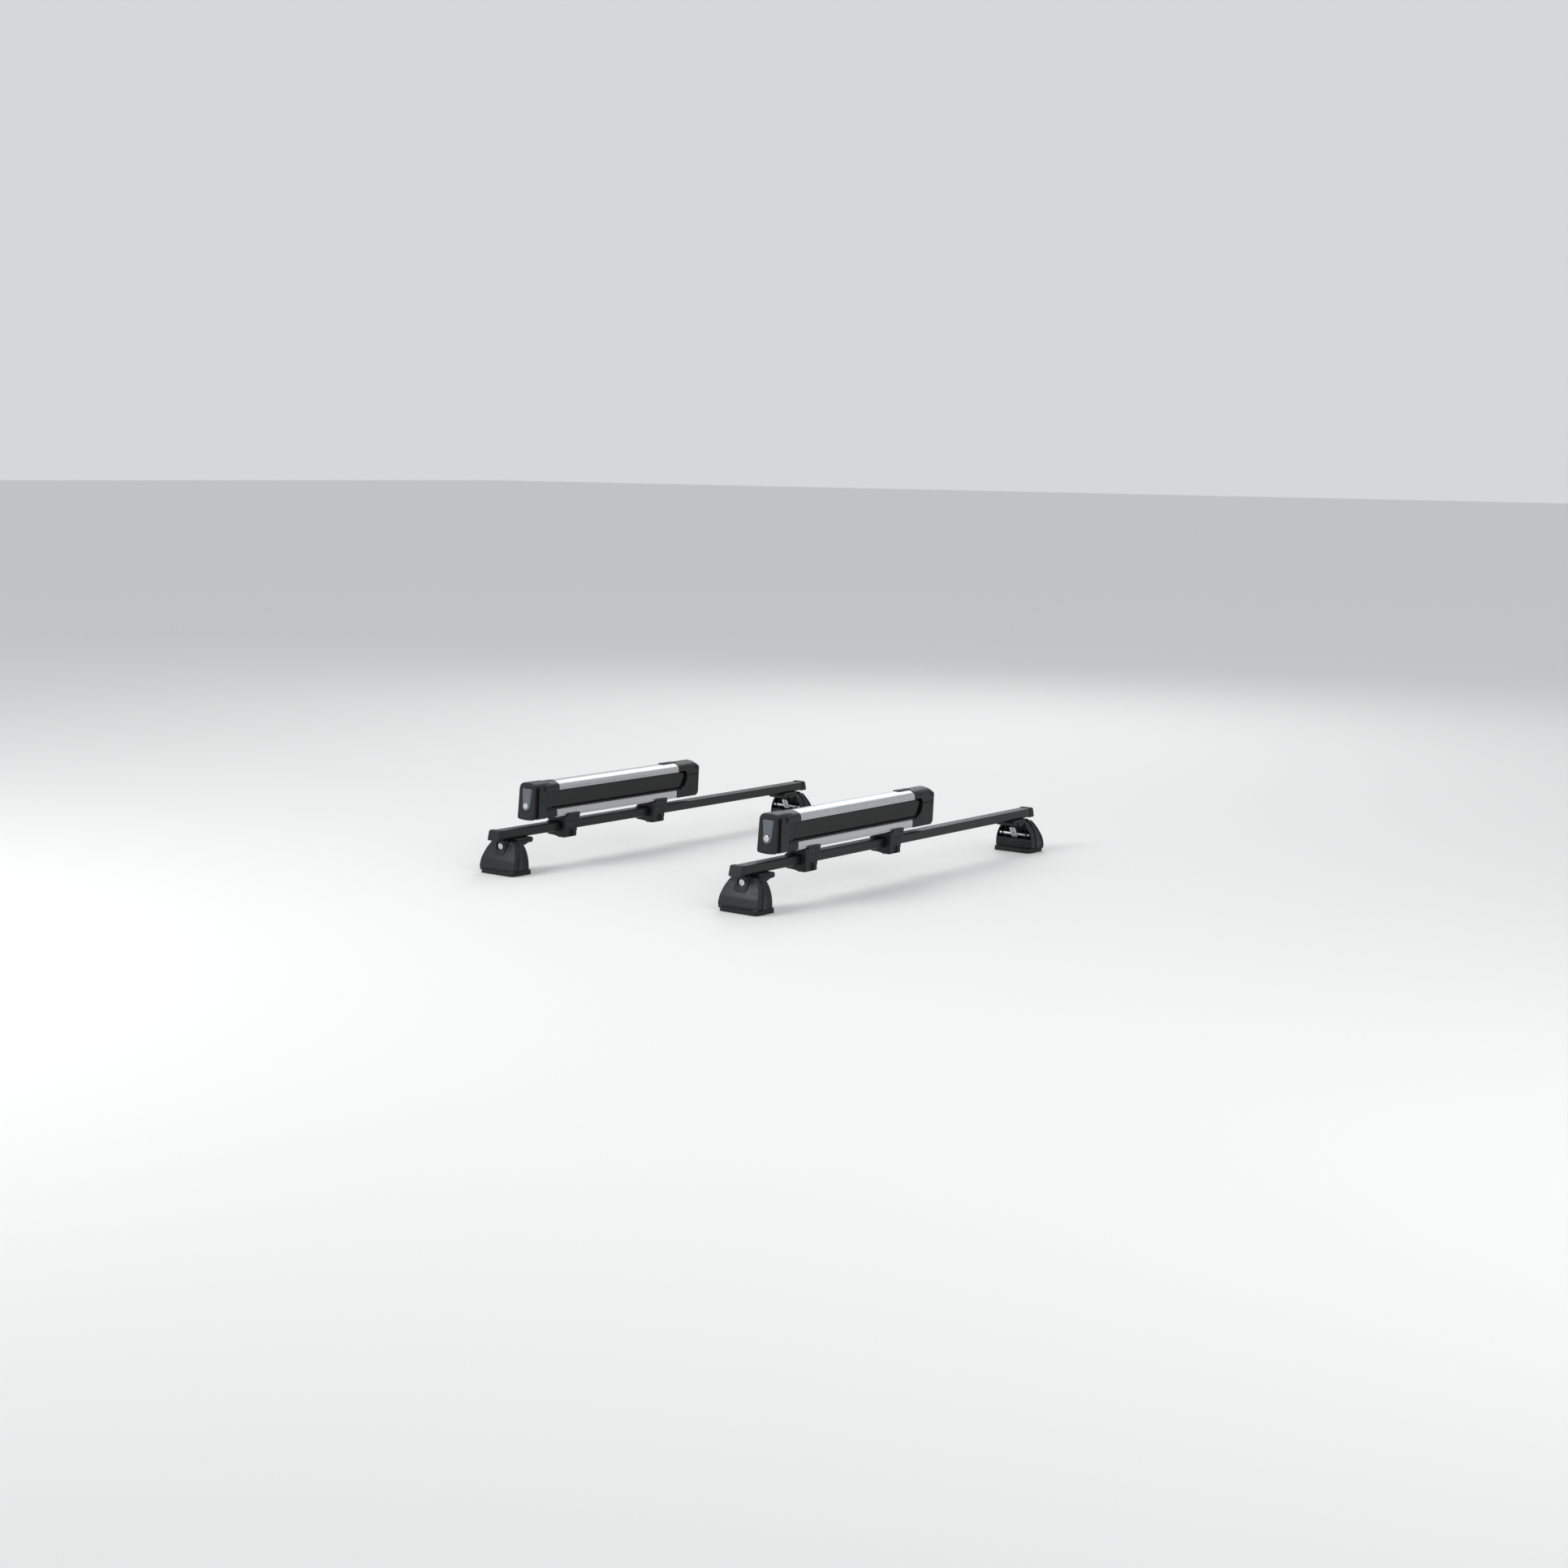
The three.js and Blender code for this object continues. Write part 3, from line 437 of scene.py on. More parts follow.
def model(*parts):
    """One mesh of all the parts, doubles merged and faces turned outwards."""
    mesh = bpy.data.meshes.new("model")
    points = np.concatenate([part[0] for part in parts])
    starts = np.cumsum([0] + [len(part[0]) for part in parts[:-1]])
    groups = [group + start for part, start in zip(parts, starts) for group in part[1]]
    faces = [face for group in groups for face in np.atleast_2d(group).tolist()]
    mesh.from_pydata(points.tolist(), [], faces)
    shape = bmesh.new()
    shape.from_mesh(mesh)
    bmesh.ops.remove_doubles(shape, verts=shape.verts, dist=1e-4)
    bmesh.ops.dissolve_degenerate(shape, edges=shape.edges, dist=1e-4)
    bmesh.ops.recalc_face_normals(shape, faces=shape.faces)
    shape.to_mesh(mesh)
    shape.free()
    return mesh


def combined(operation, base, *tools):
    """The base with each tool joined to it or cut from it by an exact Boolean."""
    scene = bpy.context.scene.collection
    body = bpy.data.objects.new("base", base)
    scene.objects.link(body)
    helpers = [bpy.data.objects.new("tool", tool) for tool in tools]
    for helper in helpers:
        scene.objects.link(helper)
        change = body.modifiers.new("change", "BOOLEAN")
        change.operation, change.object, change.solver = operation, helper, "EXACT"
    done = bpy.data.meshes.new_from_object(body.evaluated_get(bpy.context.evaluated_depsgraph_get()))
    for extra in [body, *helpers]:
        bpy.data.objects.remove(extra)
    return done


def union(first, *others):
    """One skin round all the parts."""
    return combined("UNION", model(first), *[model(other) for other in others])


def cut(base, *tools):
    """The base mesh less every tool."""
    return combined("DIFFERENCE", base, *[model(tool) for tool in tools])


made = []


def piece(name, mesh, node, material, at=(0, 0, 0), turn=0.0, stands=True):
    """Puts a copy of a model in its place on the body of a node, and lets it stand for that node."""
    copy = mesh.copy()
    copy.name = name
    copy.transform(Matrix.Translation(Vector(at) * MM) @ Matrix.Rotation(turn, 4, "Z") @ Matrix.Scale(MM, 4))
    copy.materials.clear()
    copy.materials.append(material)
    copy.polygons.foreach_set("use_smooth", np.ones(len(copy.polygons), bool))
    copy.set_sharp_from_angle(angle=SHARP)
    obj = bpy.data.objects.new(name, copy)
    bpy.context.scene.collection.objects.link(obj)
    normals = obj.modifiers.new("flat faces stay flat", "WEIGHTED_NORMAL")
    normals.keep_sharp = True
    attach(obj, owner[nodes[node].parent.name])
    if stands:
        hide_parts(node)
    made.append(obj)
    return obj


BAR_X = {"front": 366.0, "rear": -366.0}
SIDES = {"left": 0.0, "right": math.pi}
BAR_Z = 95.0

# %% [markdown]
# ## Bars and end caps
#
# Each bar is a tube 32 mm wide and 22 mm high with 4 mm corners. Its cap is a plug of black plastic whose face
# slants, so the cap is longer at the bottom, with a shadow line where it meets the tube.

# %% Bars
BAR_END = 581.0
outer = rounded(block(32, 22), 4, 7)
bore = rounded(block(28, 18), 2, 7)
bar_rings = [
    over(inset(outer, 0.4), -BAR_END),
    over(outer, 0.4 - BAR_END),
    over(outer, BAR_END - 0.4),
    over(inset(outer, 0.4), BAR_END),
    over(bore, BAR_END),
    over(bore, -BAR_END),
]
bar_tube = model(skin(np.array(bar_rings), joined=True))

cap_profile = [[581.3, 0.5], [581.7, 0], [584.4, 0], [584.8, 0.5], [585.6, 0.5], [586.0, 0]]
cap_profile += edges(586.5, 600.0, 0.0, 1.8).tolist()[4:]
cap_points, cap_faces = carried(block(34.5, 25), 4.5, cap_profile, steps=7)
slant = 7 * (cap_points[:, 2] / 25 + 0.5) * np.clip((cap_points[:, 1] - 586.5) / 13.5, 0, 1)
cap_points[:, 1] -= slant
plug = slab(block(27, 17), 2, 567, 582, 0.5)
end_cap = union((cap_points, cap_faces), plug)

for end, x in BAR_X.items():
    piece(f"{end}_bar_tube", bar_tube, f"{end}_bar", bar_coating, (x, 0, BAR_Z))
    for side, turn in SIDES.items():
        name = f"{end}_{side}_end_cap"
        piece(f"{name}_moulding", end_cap, name, black_plastic, (x, 0, BAR_Z), turn)
print(f"{len(made)} pieces: bars and end caps")

# %% [markdown]
# ## Foot covers
#
# The cover is a bell: 112 mm wide at the base and 60 mm at the top. Its face leans out towards the base and
# breaks at a crease, and a shadow groove runs round its sides behind the face. A raised tongue carries a U-shaped
# recess for the lock. Rings that spread from the lock to the rim make the whole shell, inside and out.

# %% Cover outlines
LOCK = np.array([0.0, 67.0])
FACE_Z = [0, 11, 17, 36, 53, 67, 79, 92]
FACE_Y = [587, 588, 590, 585, 577, 571, 568, 565]


def bell(shrink=0.0, bottom=11.0, top=79.0):
    """The bell's corners: straight up from the base, then a cubic curve in to the crown, mirrored."""
    base, crown, rise = 56 - shrink, 30 - shrink / 2, 68
    shoulder = max(bottom, 11 + 0.13 * rise)
    t = np.linspace(0, 1, 23)[:, None]
    pull = (crown + 0.6 * (base - crown), top - 0.16 * rise)
    knots = [(base, shoulder), (base, 11 + 0.5 * rise), pull, (crown, top)]
    weights = [(1 - t) ** 3, 3 * t * (1 - t) ** 2, 3 * t**2 * (1 - t), t**3]
    flank = sum(weight * np.array(knot) for weight, knot in zip(weights, knots))
    half = np.concatenate([[(base, bottom)], flank[flank[:, 1] > bottom + 4]])
    return np.concatenate([half, (half * (-1, 1))[::-1]])


def bell_radii(corners, foot, crown):
    """Radii for a bell's four corners, and none for the points of its curve."""
    radius = np.zeros(len(corners))
    radius[[0, -1]], radius[[len(corners) // 2 - 1, len(corners) // 2]] = foot, crown
    return radius


def bell_slab(corners, foot, crown, low, high, edge):
    """A bell carried along Y."""
    return slab(corners, bell_radii(corners, foot, crown), low, high, edge)


def cover_face(ring):
    """How far out the face stands: it follows the leaning side profile, less a crown of 2.5 mm to the sides."""
    heights = np.linspace(0, 92, 185)
    lean = np.convolve(np.interp(heights, FACE_Z, FACE_Y), np.ones(5) / 5, mode="same")
    lean[:2], lean[-2:] = FACE_Y[0], FACE_Y[-1]
    return np.interp(ring[:, 1], heights, lean) - 2.5 * (ring[:, 0] / 56) ** 2


print("cover face at the lock stands", cover_face(LOCK[None]).round(2), "mm out")

# %% Cover shell
rim = rounded(bell(), bell_radii(bell(), 3, 4))
angles = ray_angles(LOCK, rim)
rim = spokes(rim, LOCK, angles)


def circle(centre, radius, angles):
    """A ring of points at the given angles."""
    return np.array(centre) + radius * np.column_stack([np.cos(angles), np.sin(angles)])


def face_rings(first, last, depth, count):
    """Rings spread evenly between two outlines, laid on a face whose depth is given by a function."""
    share = np.linspace(0, 1, count)[:, None, None]
    flat = (1 - share) * first + share * last
    return [over(ring, depth(ring)) for ring in flat]


def bead(outline, depth, radius, steps=4):
    """Rings that roll from an outline over onto the face through a quarter circle."""
    turns = np.linspace(0, np.pi / 2, steps + 1)
    rolled = [(inset(outline, radius * (1 - math.cos(a))), radius * (1 - math.sin(a))) for a in turns]
    return [over(ring, depth(ring) - drop) for ring, drop in rolled]


GROOVE_BACK, GROOVE_FRONT, GROOVE_DEPTH = 17.0, 5.0, 1.6
COVER_BACK, WALL = 552.3, 3.2
sunk = inset(rim, GROOVE_DEPTH)
near_lock = circle(LOCK, 8.7, angles)
lock_bore = circle(LOCK, 7.9, angles)
inner = spokes(bell(3, 14, 76), LOCK, angles)
inner_edge = spokes(bell(4.5, 15.5, 74.5), LOCK, angles)
outside = [
    over(inset(rim, 0.5), COVER_BACK),
    over(rim, COVER_BACK + 0.5),
    over(rim, cover_face(rim) - GROOVE_BACK - 0.6),
    over(sunk, cover_face(rim) - GROOVE_BACK),
    over(sunk, cover_face(rim) - GROOVE_FRONT),
    over(rim, cover_face(rim) - GROOVE_FRONT + 0.6),
    *bead(rim, cover_face, 2.2),
    *face_rings(inset(rim, 2.2), near_lock, cover_face, 26)[1:],
    over(lock_bore, cover_face(lock_bore) - 0.7),
    over(lock_bore, cover_face(lock_bore) - 3),
]
inside = [
    *face_rings(circle(LOCK, 7.4, angles), inner_edge, lambda ring: cover_face(ring) - WALL, 8),
    over(inner, cover_face(inner) - WALL - 1.6),
    over(inner, COVER_BACK),
]
cover_shell = model(skin(np.array(outside + inside), joined=True))
print(f"cover shell: {len(cover_shell.polygons)} faces")

# %% Cover tongue and blank panel
TONGUE_RISE = 4.0
tongue_angles = ray_angles((0, 62), np.array([(-18.0, 46), (18, 46), (18, 81), (-18, 81)]))
tongue_outline = rounded([(-18, 46), (18, 46), (18, 81), (-18, 81)], [9, 9, 2, 2])
tongue_outline = spokes(tongue_outline, (0, 62), tongue_angles)


def tongue_face(ring):
    """The tongue grows out of the face at its foot and stands 4 mm proud from the lock's height up."""
    return cover_face(ring) + TONGUE_RISE * np.clip((ring[:, 1] - 45) / 20, 0.1, 1) ** 0.8


tongue_rings = [over(tongue_outline, cover_face(tongue_outline) - 2), *bead(tongue_outline, tongue_face, 1.2)]
tongue_rings += face_rings(inset(tongue_outline, 1.2), circle((0, 62), 0.5, tongue_angles), tongue_face, 10)[1:]
tongue = skin(np.array(tongue_rings))
slot_corners = np.concatenate([arc(LOCK, 11.5, 180, 360, 20), [(11.5, 90), (-11.5, 90)]])
slot = slab(slot_corners, 0, 571.6, 590, 0.02)
panel = rounded(block(30, 8, 0, 27), 2.5)
blank_panel = skin(
    np.array([over(panel, cover_face(panel) - 2), *bead(panel, lambda ring: cover_face(ring) + 0.6, 0.5)])
)
lock_hole = lathe([[560, 8.6], [600, 8.6]], LOCK, "Y")
corner_tabs = [model(slab(block(11, 6.4, x, 10.9), 1, 581, 587.5, 0.8)) for x in (-48.5, 48.5)]
slotted_tongue = cut(model(tongue), slot, lock_hole)
cover = combined("UNION", cover_shell, *corner_tabs, slotted_tongue, model(blank_panel))
print(f"cover with its tongue: {len(cover.polygons)} faces")

# %% [markdown]
# ## Locks
#
# A lock is a chromed ring round a plug with a keyway. Rings at matching angles run from the keyway out to the
# rim, so the slot is real and not a painted line.


# %% Lock cylinders
def lock_cylinder(radius, depth):
    """Rings from the keyway's floor, over the plug, down into the parting groove, and over the rim to the
    back."""
    key = rounded(block(2.0, 7.0), 0.9)
    angles = ray_angles((0, 0), key, count=72)
    slot = spokes(key, (0, 0), angles)
    rows = [(slot, -2.4), (slot, -0.2), (slot * 1.06, 0.0), (circle((0, 0), 0.66 * radius, angles), 0.15)]
    collar = [(0.7, 0.0), (0.72, -0.7), (0.76, -0.7), (0.79, 0.25), (0.9, 0.25), (0.97, 0.0), (1.0, -0.5)]
    for share, drop in [*collar, (1.0, -depth)]:
        rows.append((circle((0, 0), share * radius, angles), drop))
    return model(skin(np.array([over(ring, drop) for ring, drop in rows])))


foot_lock = lock_cylinder(7.5, 5.4)
carrier_lock = lock_cylinder(7.6, 7.4)

# %% [markdown]
# ## Foot bodies, pads and clamps
#
# Behind the cover stands the foot's body, a block with a recess that faces the middle of the car. A cross pin
# runs through the recess and a leaning strap hangs on it, which pulls the claw tight. The pad is moulded rubber
# with two grooves round its side.

# %% Foot body
FLOOR = 10.8
rear_block = bell_slab(bell(2, FLOOR, 77), 3, 4, 532, 552.0, 1.2)
front_block = bell_slab(bell(5, FLOOR, 73), 3, 4, 550, 566, 0.5)
saddle_side = [(489, 70.5), (545, 70.5), (545, 83.7), (489, 83.7)]
saddle = slab(saddle_side, [6, 0, 0, 6], -27, 27, 1.5, "X", 8)
fillet = bend((531.9, 46), (530, 68), (506, 72), 10)
gusset_side = np.concatenate([fillet[::-1], [(545, 46), (545, 78), (506, 78)]])
gussets = [slab(gusset_side, 0, x - 4, x + 4, 0.8, "X") for x in (-26.5, 26.5)]
recess = bell_slab(bell(5, 34, 70), 3, 6, 520, 560, 0.1)
hollow_body = cut(union(rear_block, front_block, saddle, *gussets), recess)
ribs = [slab(block(22, 30, 549, 49), 0.5, x - 0.9, x + 0.9, 0.3, "X") for x in (-30, 30)]
floor_rib = slab(block(88, 2.0, 0, 39.5), 0.6, 540, 561, 0.3)
beam_line = slab(block(84, 9, 0, 22), 2.5, 520, 532.9, 0.2)
foot_body = cut(combined("UNION", hollow_body, *[model(rib) for rib in [*ribs, floor_rib]]), beam_line)
print(f"foot body: {len(foot_body.polygons)} faces")

# %% Foot pads
pad_profile = [[0, 1.0], [0.3, 0.4], [1.0, 0], [3.0, 0], [3.4, 0.8], [4.2, 0.8], [4.6, 0], [6.6, 0], [7.0, 0.8]]
pad_profile += [[7.8, 0.8], [8.2, 0], [9.9, 0], [10.5, 0.6]]
foot_pad = model(carried(block(108, 68, 0, 554), 10, pad_profile, "Z", 8))

# %% Cross pin and strap
PIN_Y, PIN_Z = 537.0, 45.0
cross_pin = model(lathe([[-44, 3.2], [-43.3, 4], [43.3, 4], [44, 3.2]], (PIN_Y, PIN_Z)))
collar_rows = np.array([[0, 4.05], [0, 5.2], [0.4, 5.6], [3.6, 5.6], [4, 5.2], [4, 4.05]])
collars = model(*[lathe(collar_rows + (at, 0), (PIN_Y, PIN_Z), joined=True) for at in (-37, 33)])
plate = model(slab(block(18, 26, 0, PIN_Z + 4.5), [2, 2, 4, 4], PIN_Y - 8.2, PIN_Y - 5.0, 0.5))
holes = [lathe([[500, 1.9], [560, 1.9]], (0, PIN_Z + z), "Y", 24) for z in (12, 3.5)]
strap = cut(plate, *holes)
strap.transform(Matrix(((1, 0, 0, 0), (0, 1, -0.5, 0.5 * (PIN_Z + 4.5)), (0, 0, 1, 0), (0, 0, 0, 1))))
hub = slab(arc((PIN_Y, PIN_Z), 5.4, 0, 360, 32)[:-1], 0, -8.5, 8.5, 0.5, "X")
strap = combined("UNION", strap, model(hub))

for end, x in BAR_X.items():
    for side, turn in SIDES.items():
        name, at = f"{end}_{side}", (x, 0, 0)
        lock_at = (x, 573 * math.cos(turn), 67)
        strap_node = f"{name}_clamp_strap"
        piece(f"{name}_cover_moulding", cover, f"{name}_foot_cover", cover_plastic, at, turn)
        piece(f"{name}_foot_body", foot_body, f"{name}_foot_frame", black_plastic, at, turn)
        piece(f"{name}_foot_pad_moulding", foot_pad, f"{name}_foot_pad", pad_rubber, at, turn)
        piece(f"{name}_foot_lock_cylinder", foot_lock, f"{name}_foot_lock", chrome, lock_at, turn)
        piece(f"{name}_cross_pin", cross_pin, strap_node, zinc, at, turn)
        piece(f"{name}_strap_plate", strap, strap_node, zinc, at, turn, stands=False)
        piece(f"{name}_pin_collars", collars, strap_node, black_plastic, at, turn, stands=False)
print(f"{len(made)} pieces with the feet")

# %% [markdown]
# ## Profiles and rubber strips
#
# The upper profile is a hollow dome, the lower one a hollow flat box. Each has a groove along its sides. The
# rubber between them is a thick soft strip above and a thin one below, both ribbed where they grip the skis.

# %% Aluminium profiles
ARM_START, ARM_END = -397.0, 46.0
BASE_START, BASE_END = -406.0, 38.0


def grooved_side(half, low, groove, groove_top, depth, high):
    """The right side of a profile from low to high, with a groove cut into it."""
    bottom = [(half - depth, groove + 0.3), (half - depth, groove_top - 0.3)]
    return [(half, low), (half, groove), *bottom, (half, groove_top), (half, high)]


def mirrored(half_outline):
    """A right half, followed by its mirror image in reverse."""
    half_outline = np.array(half_outline, float)
    return np.concatenate([half_outline, (half_outline * (-1, 1))[::-1]])


def dome(grow=0.0, floor=91.3):
    """The dome's outline: straight sides up to 99 mm, then half an ellipse that rises 14 mm."""
    turn = np.linspace(0, np.pi / 2, 25)
    top = np.column_stack([(27 + grow) * np.cos(turn), 99 + (14 + grow) * np.sin(turn)])
    side = [(27 + grow, floor)] if grow else grooved_side(27, floor, 94.8, 96.4, 0.9, 98.5)
    return mirrored(np.concatenate([side, top[:-1]]))


def hollow(outline, bore, centre, start, end):
    """A tube between an outline and its bore, ring against ring."""
    angles = ray_angles(centre, outline, bore, count=120)
    wall, hole = spokes(outline, centre, angles), spokes(bore, centre, angles)
    rings = [over(wall, start), over(wall, end), over(hole, end), over(hole, start)]
    return model(skin(np.array(rings), joined=True))


upper_profile = hollow(dome(), dome(-2.6, 93.9), np.array([0, 98.0]), ARM_START, ARM_END)
flat_corner = arc((24, 42), 3, 0, 90, 6)
base_side = [(24, 25), (26.2, 25.6), (27, 27), *grooved_side(27, 28, 29.8, 32.0, 1.1, 41)]
base_outline = mirrored(np.concatenate([base_side, flat_corner[1:]]))
base_bore = rounded(block(48.8, 14.8, 0, 35), 1)
lower_profile = hollow(base_outline, base_bore, np.array([0, 35.0]), BASE_START, BASE_END)
print("profiles", len(upper_profile.polygons), len(lower_profile.polygons))

# %% Rubber strips
RIB_PITCH = 8.0
tip_curve = np.concatenate([bend((50, 50.7), (60, 62), (70, 84), 16), [(72, 91)]])


def ribbed(low, high, flip=1):
    """Points along a face from low to high x, scalloped by a cosine wave half a millimetre deep."""
    x = np.linspace(low, high, 61)
    return np.column_stack([x, flip * 0.3 * (1 - np.cos(2 * np.pi * x / RIB_PITCH))])


def tip(ring):
    """How far along the strip's curved end reaches at the height of each point."""
    return np.interp(ring[:, 1], tip_curve[:, 1], tip_curve[:, 0])


side = np.array([(25, 55.7), (25, 59.6), (24.6, 60.2), (24.6, 61.8), (25, 62.4), (25, 91)])
right_round = arc((20, 55.7), 5, -90, 0, 8)[1:-1]
left_round = arc((-20, 55.7), 5, 180, 270, 8)[1:-1]
upper_section = np.concatenate([ribbed(-20, 20) + (0, 50.7), right_round, mirrored(side), left_round])
strip_rings = [over(upper_section, -424.7)]
for angle in np.linspace(0, np.pi / 2, 5):
    ring = inset(upper_section, 0.9 * (1 - math.cos(angle)))
    strip_rings.append(over(ring, tip(ring) - 0.9 * (1 - math.sin(angle))))
upper_strip = model(skin(np.array(strip_rings)))
crest = ribbed(-22, 22, -1)[::-1]
underside = [(-24, 45.3), (24, 45.3), (24, 47.9), (23.4, 48.5)]
lower_section = np.concatenate([underside, crest + (0, 48.5), [(-23.4, 48.5), (-24, 47.9)]])
slope = np.where(lower_section[:, 1] > 46, 3.2, 0.0)
lower_strip = model(skin(np.array([over(lower_section, slope - 440), over(lower_section, 56 - slope)])))
print("strips", len(upper_strip.polygons), len(lower_strip.polygons))

# %% [markdown]
# ## Latch housing and button
#
# The housing closes the near end of the arm. Its front leans back by 7 mm over its height and narrows upwards.
# Behind the front plate a band is sunk deep into the sides. The button is a shield in a pocket of the same
# outline, and the lock sits in its round lower end.

# %% Housing outlines
HOUSE_FRONT, HOUSE_FOOT = -488.0, 24.0


def front_plane(ring, depth=0.0):
    """The leaning front: 7 mm further back at the top than at the foot."""
    return HOUSE_FRONT + (ring[:, 1] - HOUSE_FOOT) * 7 / 90 + depth


bow = bend((-20, 25.3), (0, 22.7), (20, 25.3), 12)
house_outline = rounded(
    np.concatenate([bow, [(27.5, 26.5), (25.2, 114), (-25.2, 114), (-27.5, 26.5)]]),
    np.concatenate([np.zeros(len(bow)), [5, 15, 15, 5]]),
    8,
)
low_round = arc((0, 59), 12, 180, 360, 24)


def shield(grow=0.0):
    """The button's outline: a half circle round the lock that widens upwards to a flat top."""
    outline = np.concatenate([low_round, [(16.5, 100), (-16.5, 100)]])
    outline = rounded(outline, np.concatenate([np.zeros(len(low_round)), [4, 4]]), 6)
    return inset(outline, -grow)


# %% Housing body
EYE = np.array([0.0, 76.0])
pocket_rim = shield(0.4)
angles = ray_angles(EYE, house_outline, pocket_rim)
shell = spokes(house_outline, EYE, angles)
pocket = spokes(pocket_rim, EYE, angles)
lip = spokes(inset(pocket_rim, -0.9), EYE, angles)

# The band fades out towards the top, so that the rounded corners above 106 mm stay whole.
band = inset(shell, 5.5 * np.clip((106 - shell[:, 1]) / 8, 0, 1))
rolled_edge = [
    over(inset(shell, 2.5 * (1 - math.sin(a))), front_plane(shell, 2.5 * (1 - math.cos(a))))
    for a in np.linspace(0.3, np.pi / 2, 5)
]
tower_rings = [
    over(pocket, front_plane(pocket, 18)),
    over(pocket, front_plane(pocket, 0.7)),
    over(lip, front_plane(lip, 0)),
    *face_rings(lip, inset(shell, 2.5), front_plane, 5)[1:],
    *rolled_edge,
    over(shell, front_plane(shell, 3.4)),
    over(band, front_plane(shell, 3.8)),
    over(band, front_plane(shell, 16.0)),
    over(shell, front_plane(shell, 16.6)),
    over(shell, -441.6),
    over(inset(shell, 0.6), -441),
]
tower = skin(np.array(tower_rings))
cheeks = [(26.4, 50.7), (24.9, 113.6), (-24.9, 113.6), (-26.4, 50.7)]
shoulder_block = slab(cheeks, [0.5, 14, 14, 0.5], -445, -425, 0.5, steps=8)
sleeve = carried(dome(0.8), 0, edges(-446, -397.3, 0.2, 1.0))
housing = combined("UNION", model(tower), model(shoulder_block), model(sleeve))
hook_room = slab([(-479.0, 19), (-440, 19), (-440, 80), (-467, 80), (-467, 62)], 0, -9.5, 9.5, 0.01, "X")
pin_bore = lathe([[-40, 3.4], [40, 3.4]], (-459, 72), "X", 32)
housing = cut(housing, hook_room, pin_bore)
print(f"latch housing: {len(housing.polygons)} faces")

# %% Button
BUTTON_FRONT = -1.5
key_rim = shield()
angles = ray_angles((0, 59), key_rim)
key_rim = spokes(key_rim, (0, 59), angles)
well = circle((0, 59), 8.0, angles)


def thumb_face(ring):
    """The button's face: a flat middle that narrows downwards between two flanks that fall away by 2.6 mm."""
    middle = np.interp(ring[:, 1], [50, 66, 99], [7.5, 8.5, 12.0])
    fall = np.clip((np.abs(ring[:, 0]) - middle) / 5.0, 0, 1) * np.clip((ring[:, 1] - 52) / 14, 0, 1)
    return front_plane(ring, BUTTON_FRONT) + 2.6 * fall


key_edge = [
    over(inset(key_rim, 0.9 * (1 - math.cos(a))), thumb_face(key_rim) + 0.9 * (1 - math.sin(a)))
    for a in np.linspace(0, 1.4, 5)
]
key_rings = [
    over(inset(key_rim, 0.6), front_plane(key_rim, 9.5)),
    over(key_rim, front_plane(key_rim, 9)),
    *key_edge,
    *face_rings(inset(key_rim, 1.0), circle((0, 59), 8.8, angles), thumb_face, 22),
    over(well, front_plane(well, BUTTON_FRONT + 0.8)),
    over(well, front_plane(well, BUTTON_FRONT + 6.6)),
]
button = model(skin(np.array(key_rings)))
lock_face = HOUSE_FRONT + BUTTON_FRONT + 35 * 7 / 90 - 1.0
print(f"button: {len(button.polygons)} faces, lock face at {lock_face:.2f} mm")

# %% Housing label blank and latch hook
blank = rounded(block(34, 9, 0, 35.5), 2.5)
blank_rows = [(blank, 2), (blank, -0.1), (inset(blank, 0.5), -0.6)]
label_blank = model(skin(np.array([over(ring, front_plane(blank, depth)) for ring, depth in blank_rows])))
housing = combined("UNION", housing, label_blank)
hook_side = [(-464, 29), (-444.8, 29), (-441.8, 33), (-441.8, 37), (-457, 37), (-455, 72), (-463, 72)]
hook = union(
    slab(hook_side, [1, 1, 1, 1, 2, 0.5, 0.5], -6, 6, 0.6, "X"),
    slab(arc((-459, 72), 6, 0, 360, 32)[:-1], 0, -6.2, 6.2, 0.6, "X"),
    lathe([[-25.6, 2.4], [-25.1, 3], [25.1, 3], [25.6, 2.4]], (-459, 72), "X", 32),
)
print(f"latch hook: {len(hook.polygons)} faces")

# %% [markdown]
# ## Hinge and striker
#
# The cap over the hinge goes on with the dome and wraps round the pin, and a slot in it clears the lug of the
# tower below. A dome is an ellipse, so each ring across the cap is the same side outline with its top lowered.

# %% Hinge cap
PIN = np.array([111.0, 99.0])
cap_foot, cap_top = [(46.3, 91.3), (73, 91.3), (78, 80.6)], [(52, 114.6), (46.3, 113.6)]
cap_side = np.concatenate([cap_foot, arc(PIN, 18.6, 261.6, 329.3, 14), arc(PIN, 16, 0, 90, 12), cap_top])
cap_side = rounded(cap_side, np.concatenate([[0.4, 3, 0.8], np.zeros(15), np.zeros(13), [0, 0.6]]))
across = np.radians(np.concatenate([[-90], np.linspace(-88, 88, 33), [90]]))
cap_rings = []
for angle in across:
    ring = inset(cap_side, 0.9 * max(0.0, abs(math.sin(angle)) - 0.97) / 0.03)
    ring[:, 1] = np.where(ring[:, 1] > 99, 99 + (ring[:, 1] - 99) * math.cos(angle), ring[:, 1])
    cap_rings.append(np.column_stack([np.full(len(ring), 27.5 * math.sin(angle)), ring]))
lug_room = np.concatenate([[(98.4, 59), (150, 59), (150, 111.6)], arc(PIN, 12.6, 90, 180, 16)])
pin_room = lathe([[-40, 4.3], [40, 4.3]], PIN, "X", 32)
hinge_cap = cut(model(skin(np.array(cap_rings))), slab(lug_room, 0, -13.3, 13.3, 0.01, "X"), pin_room)
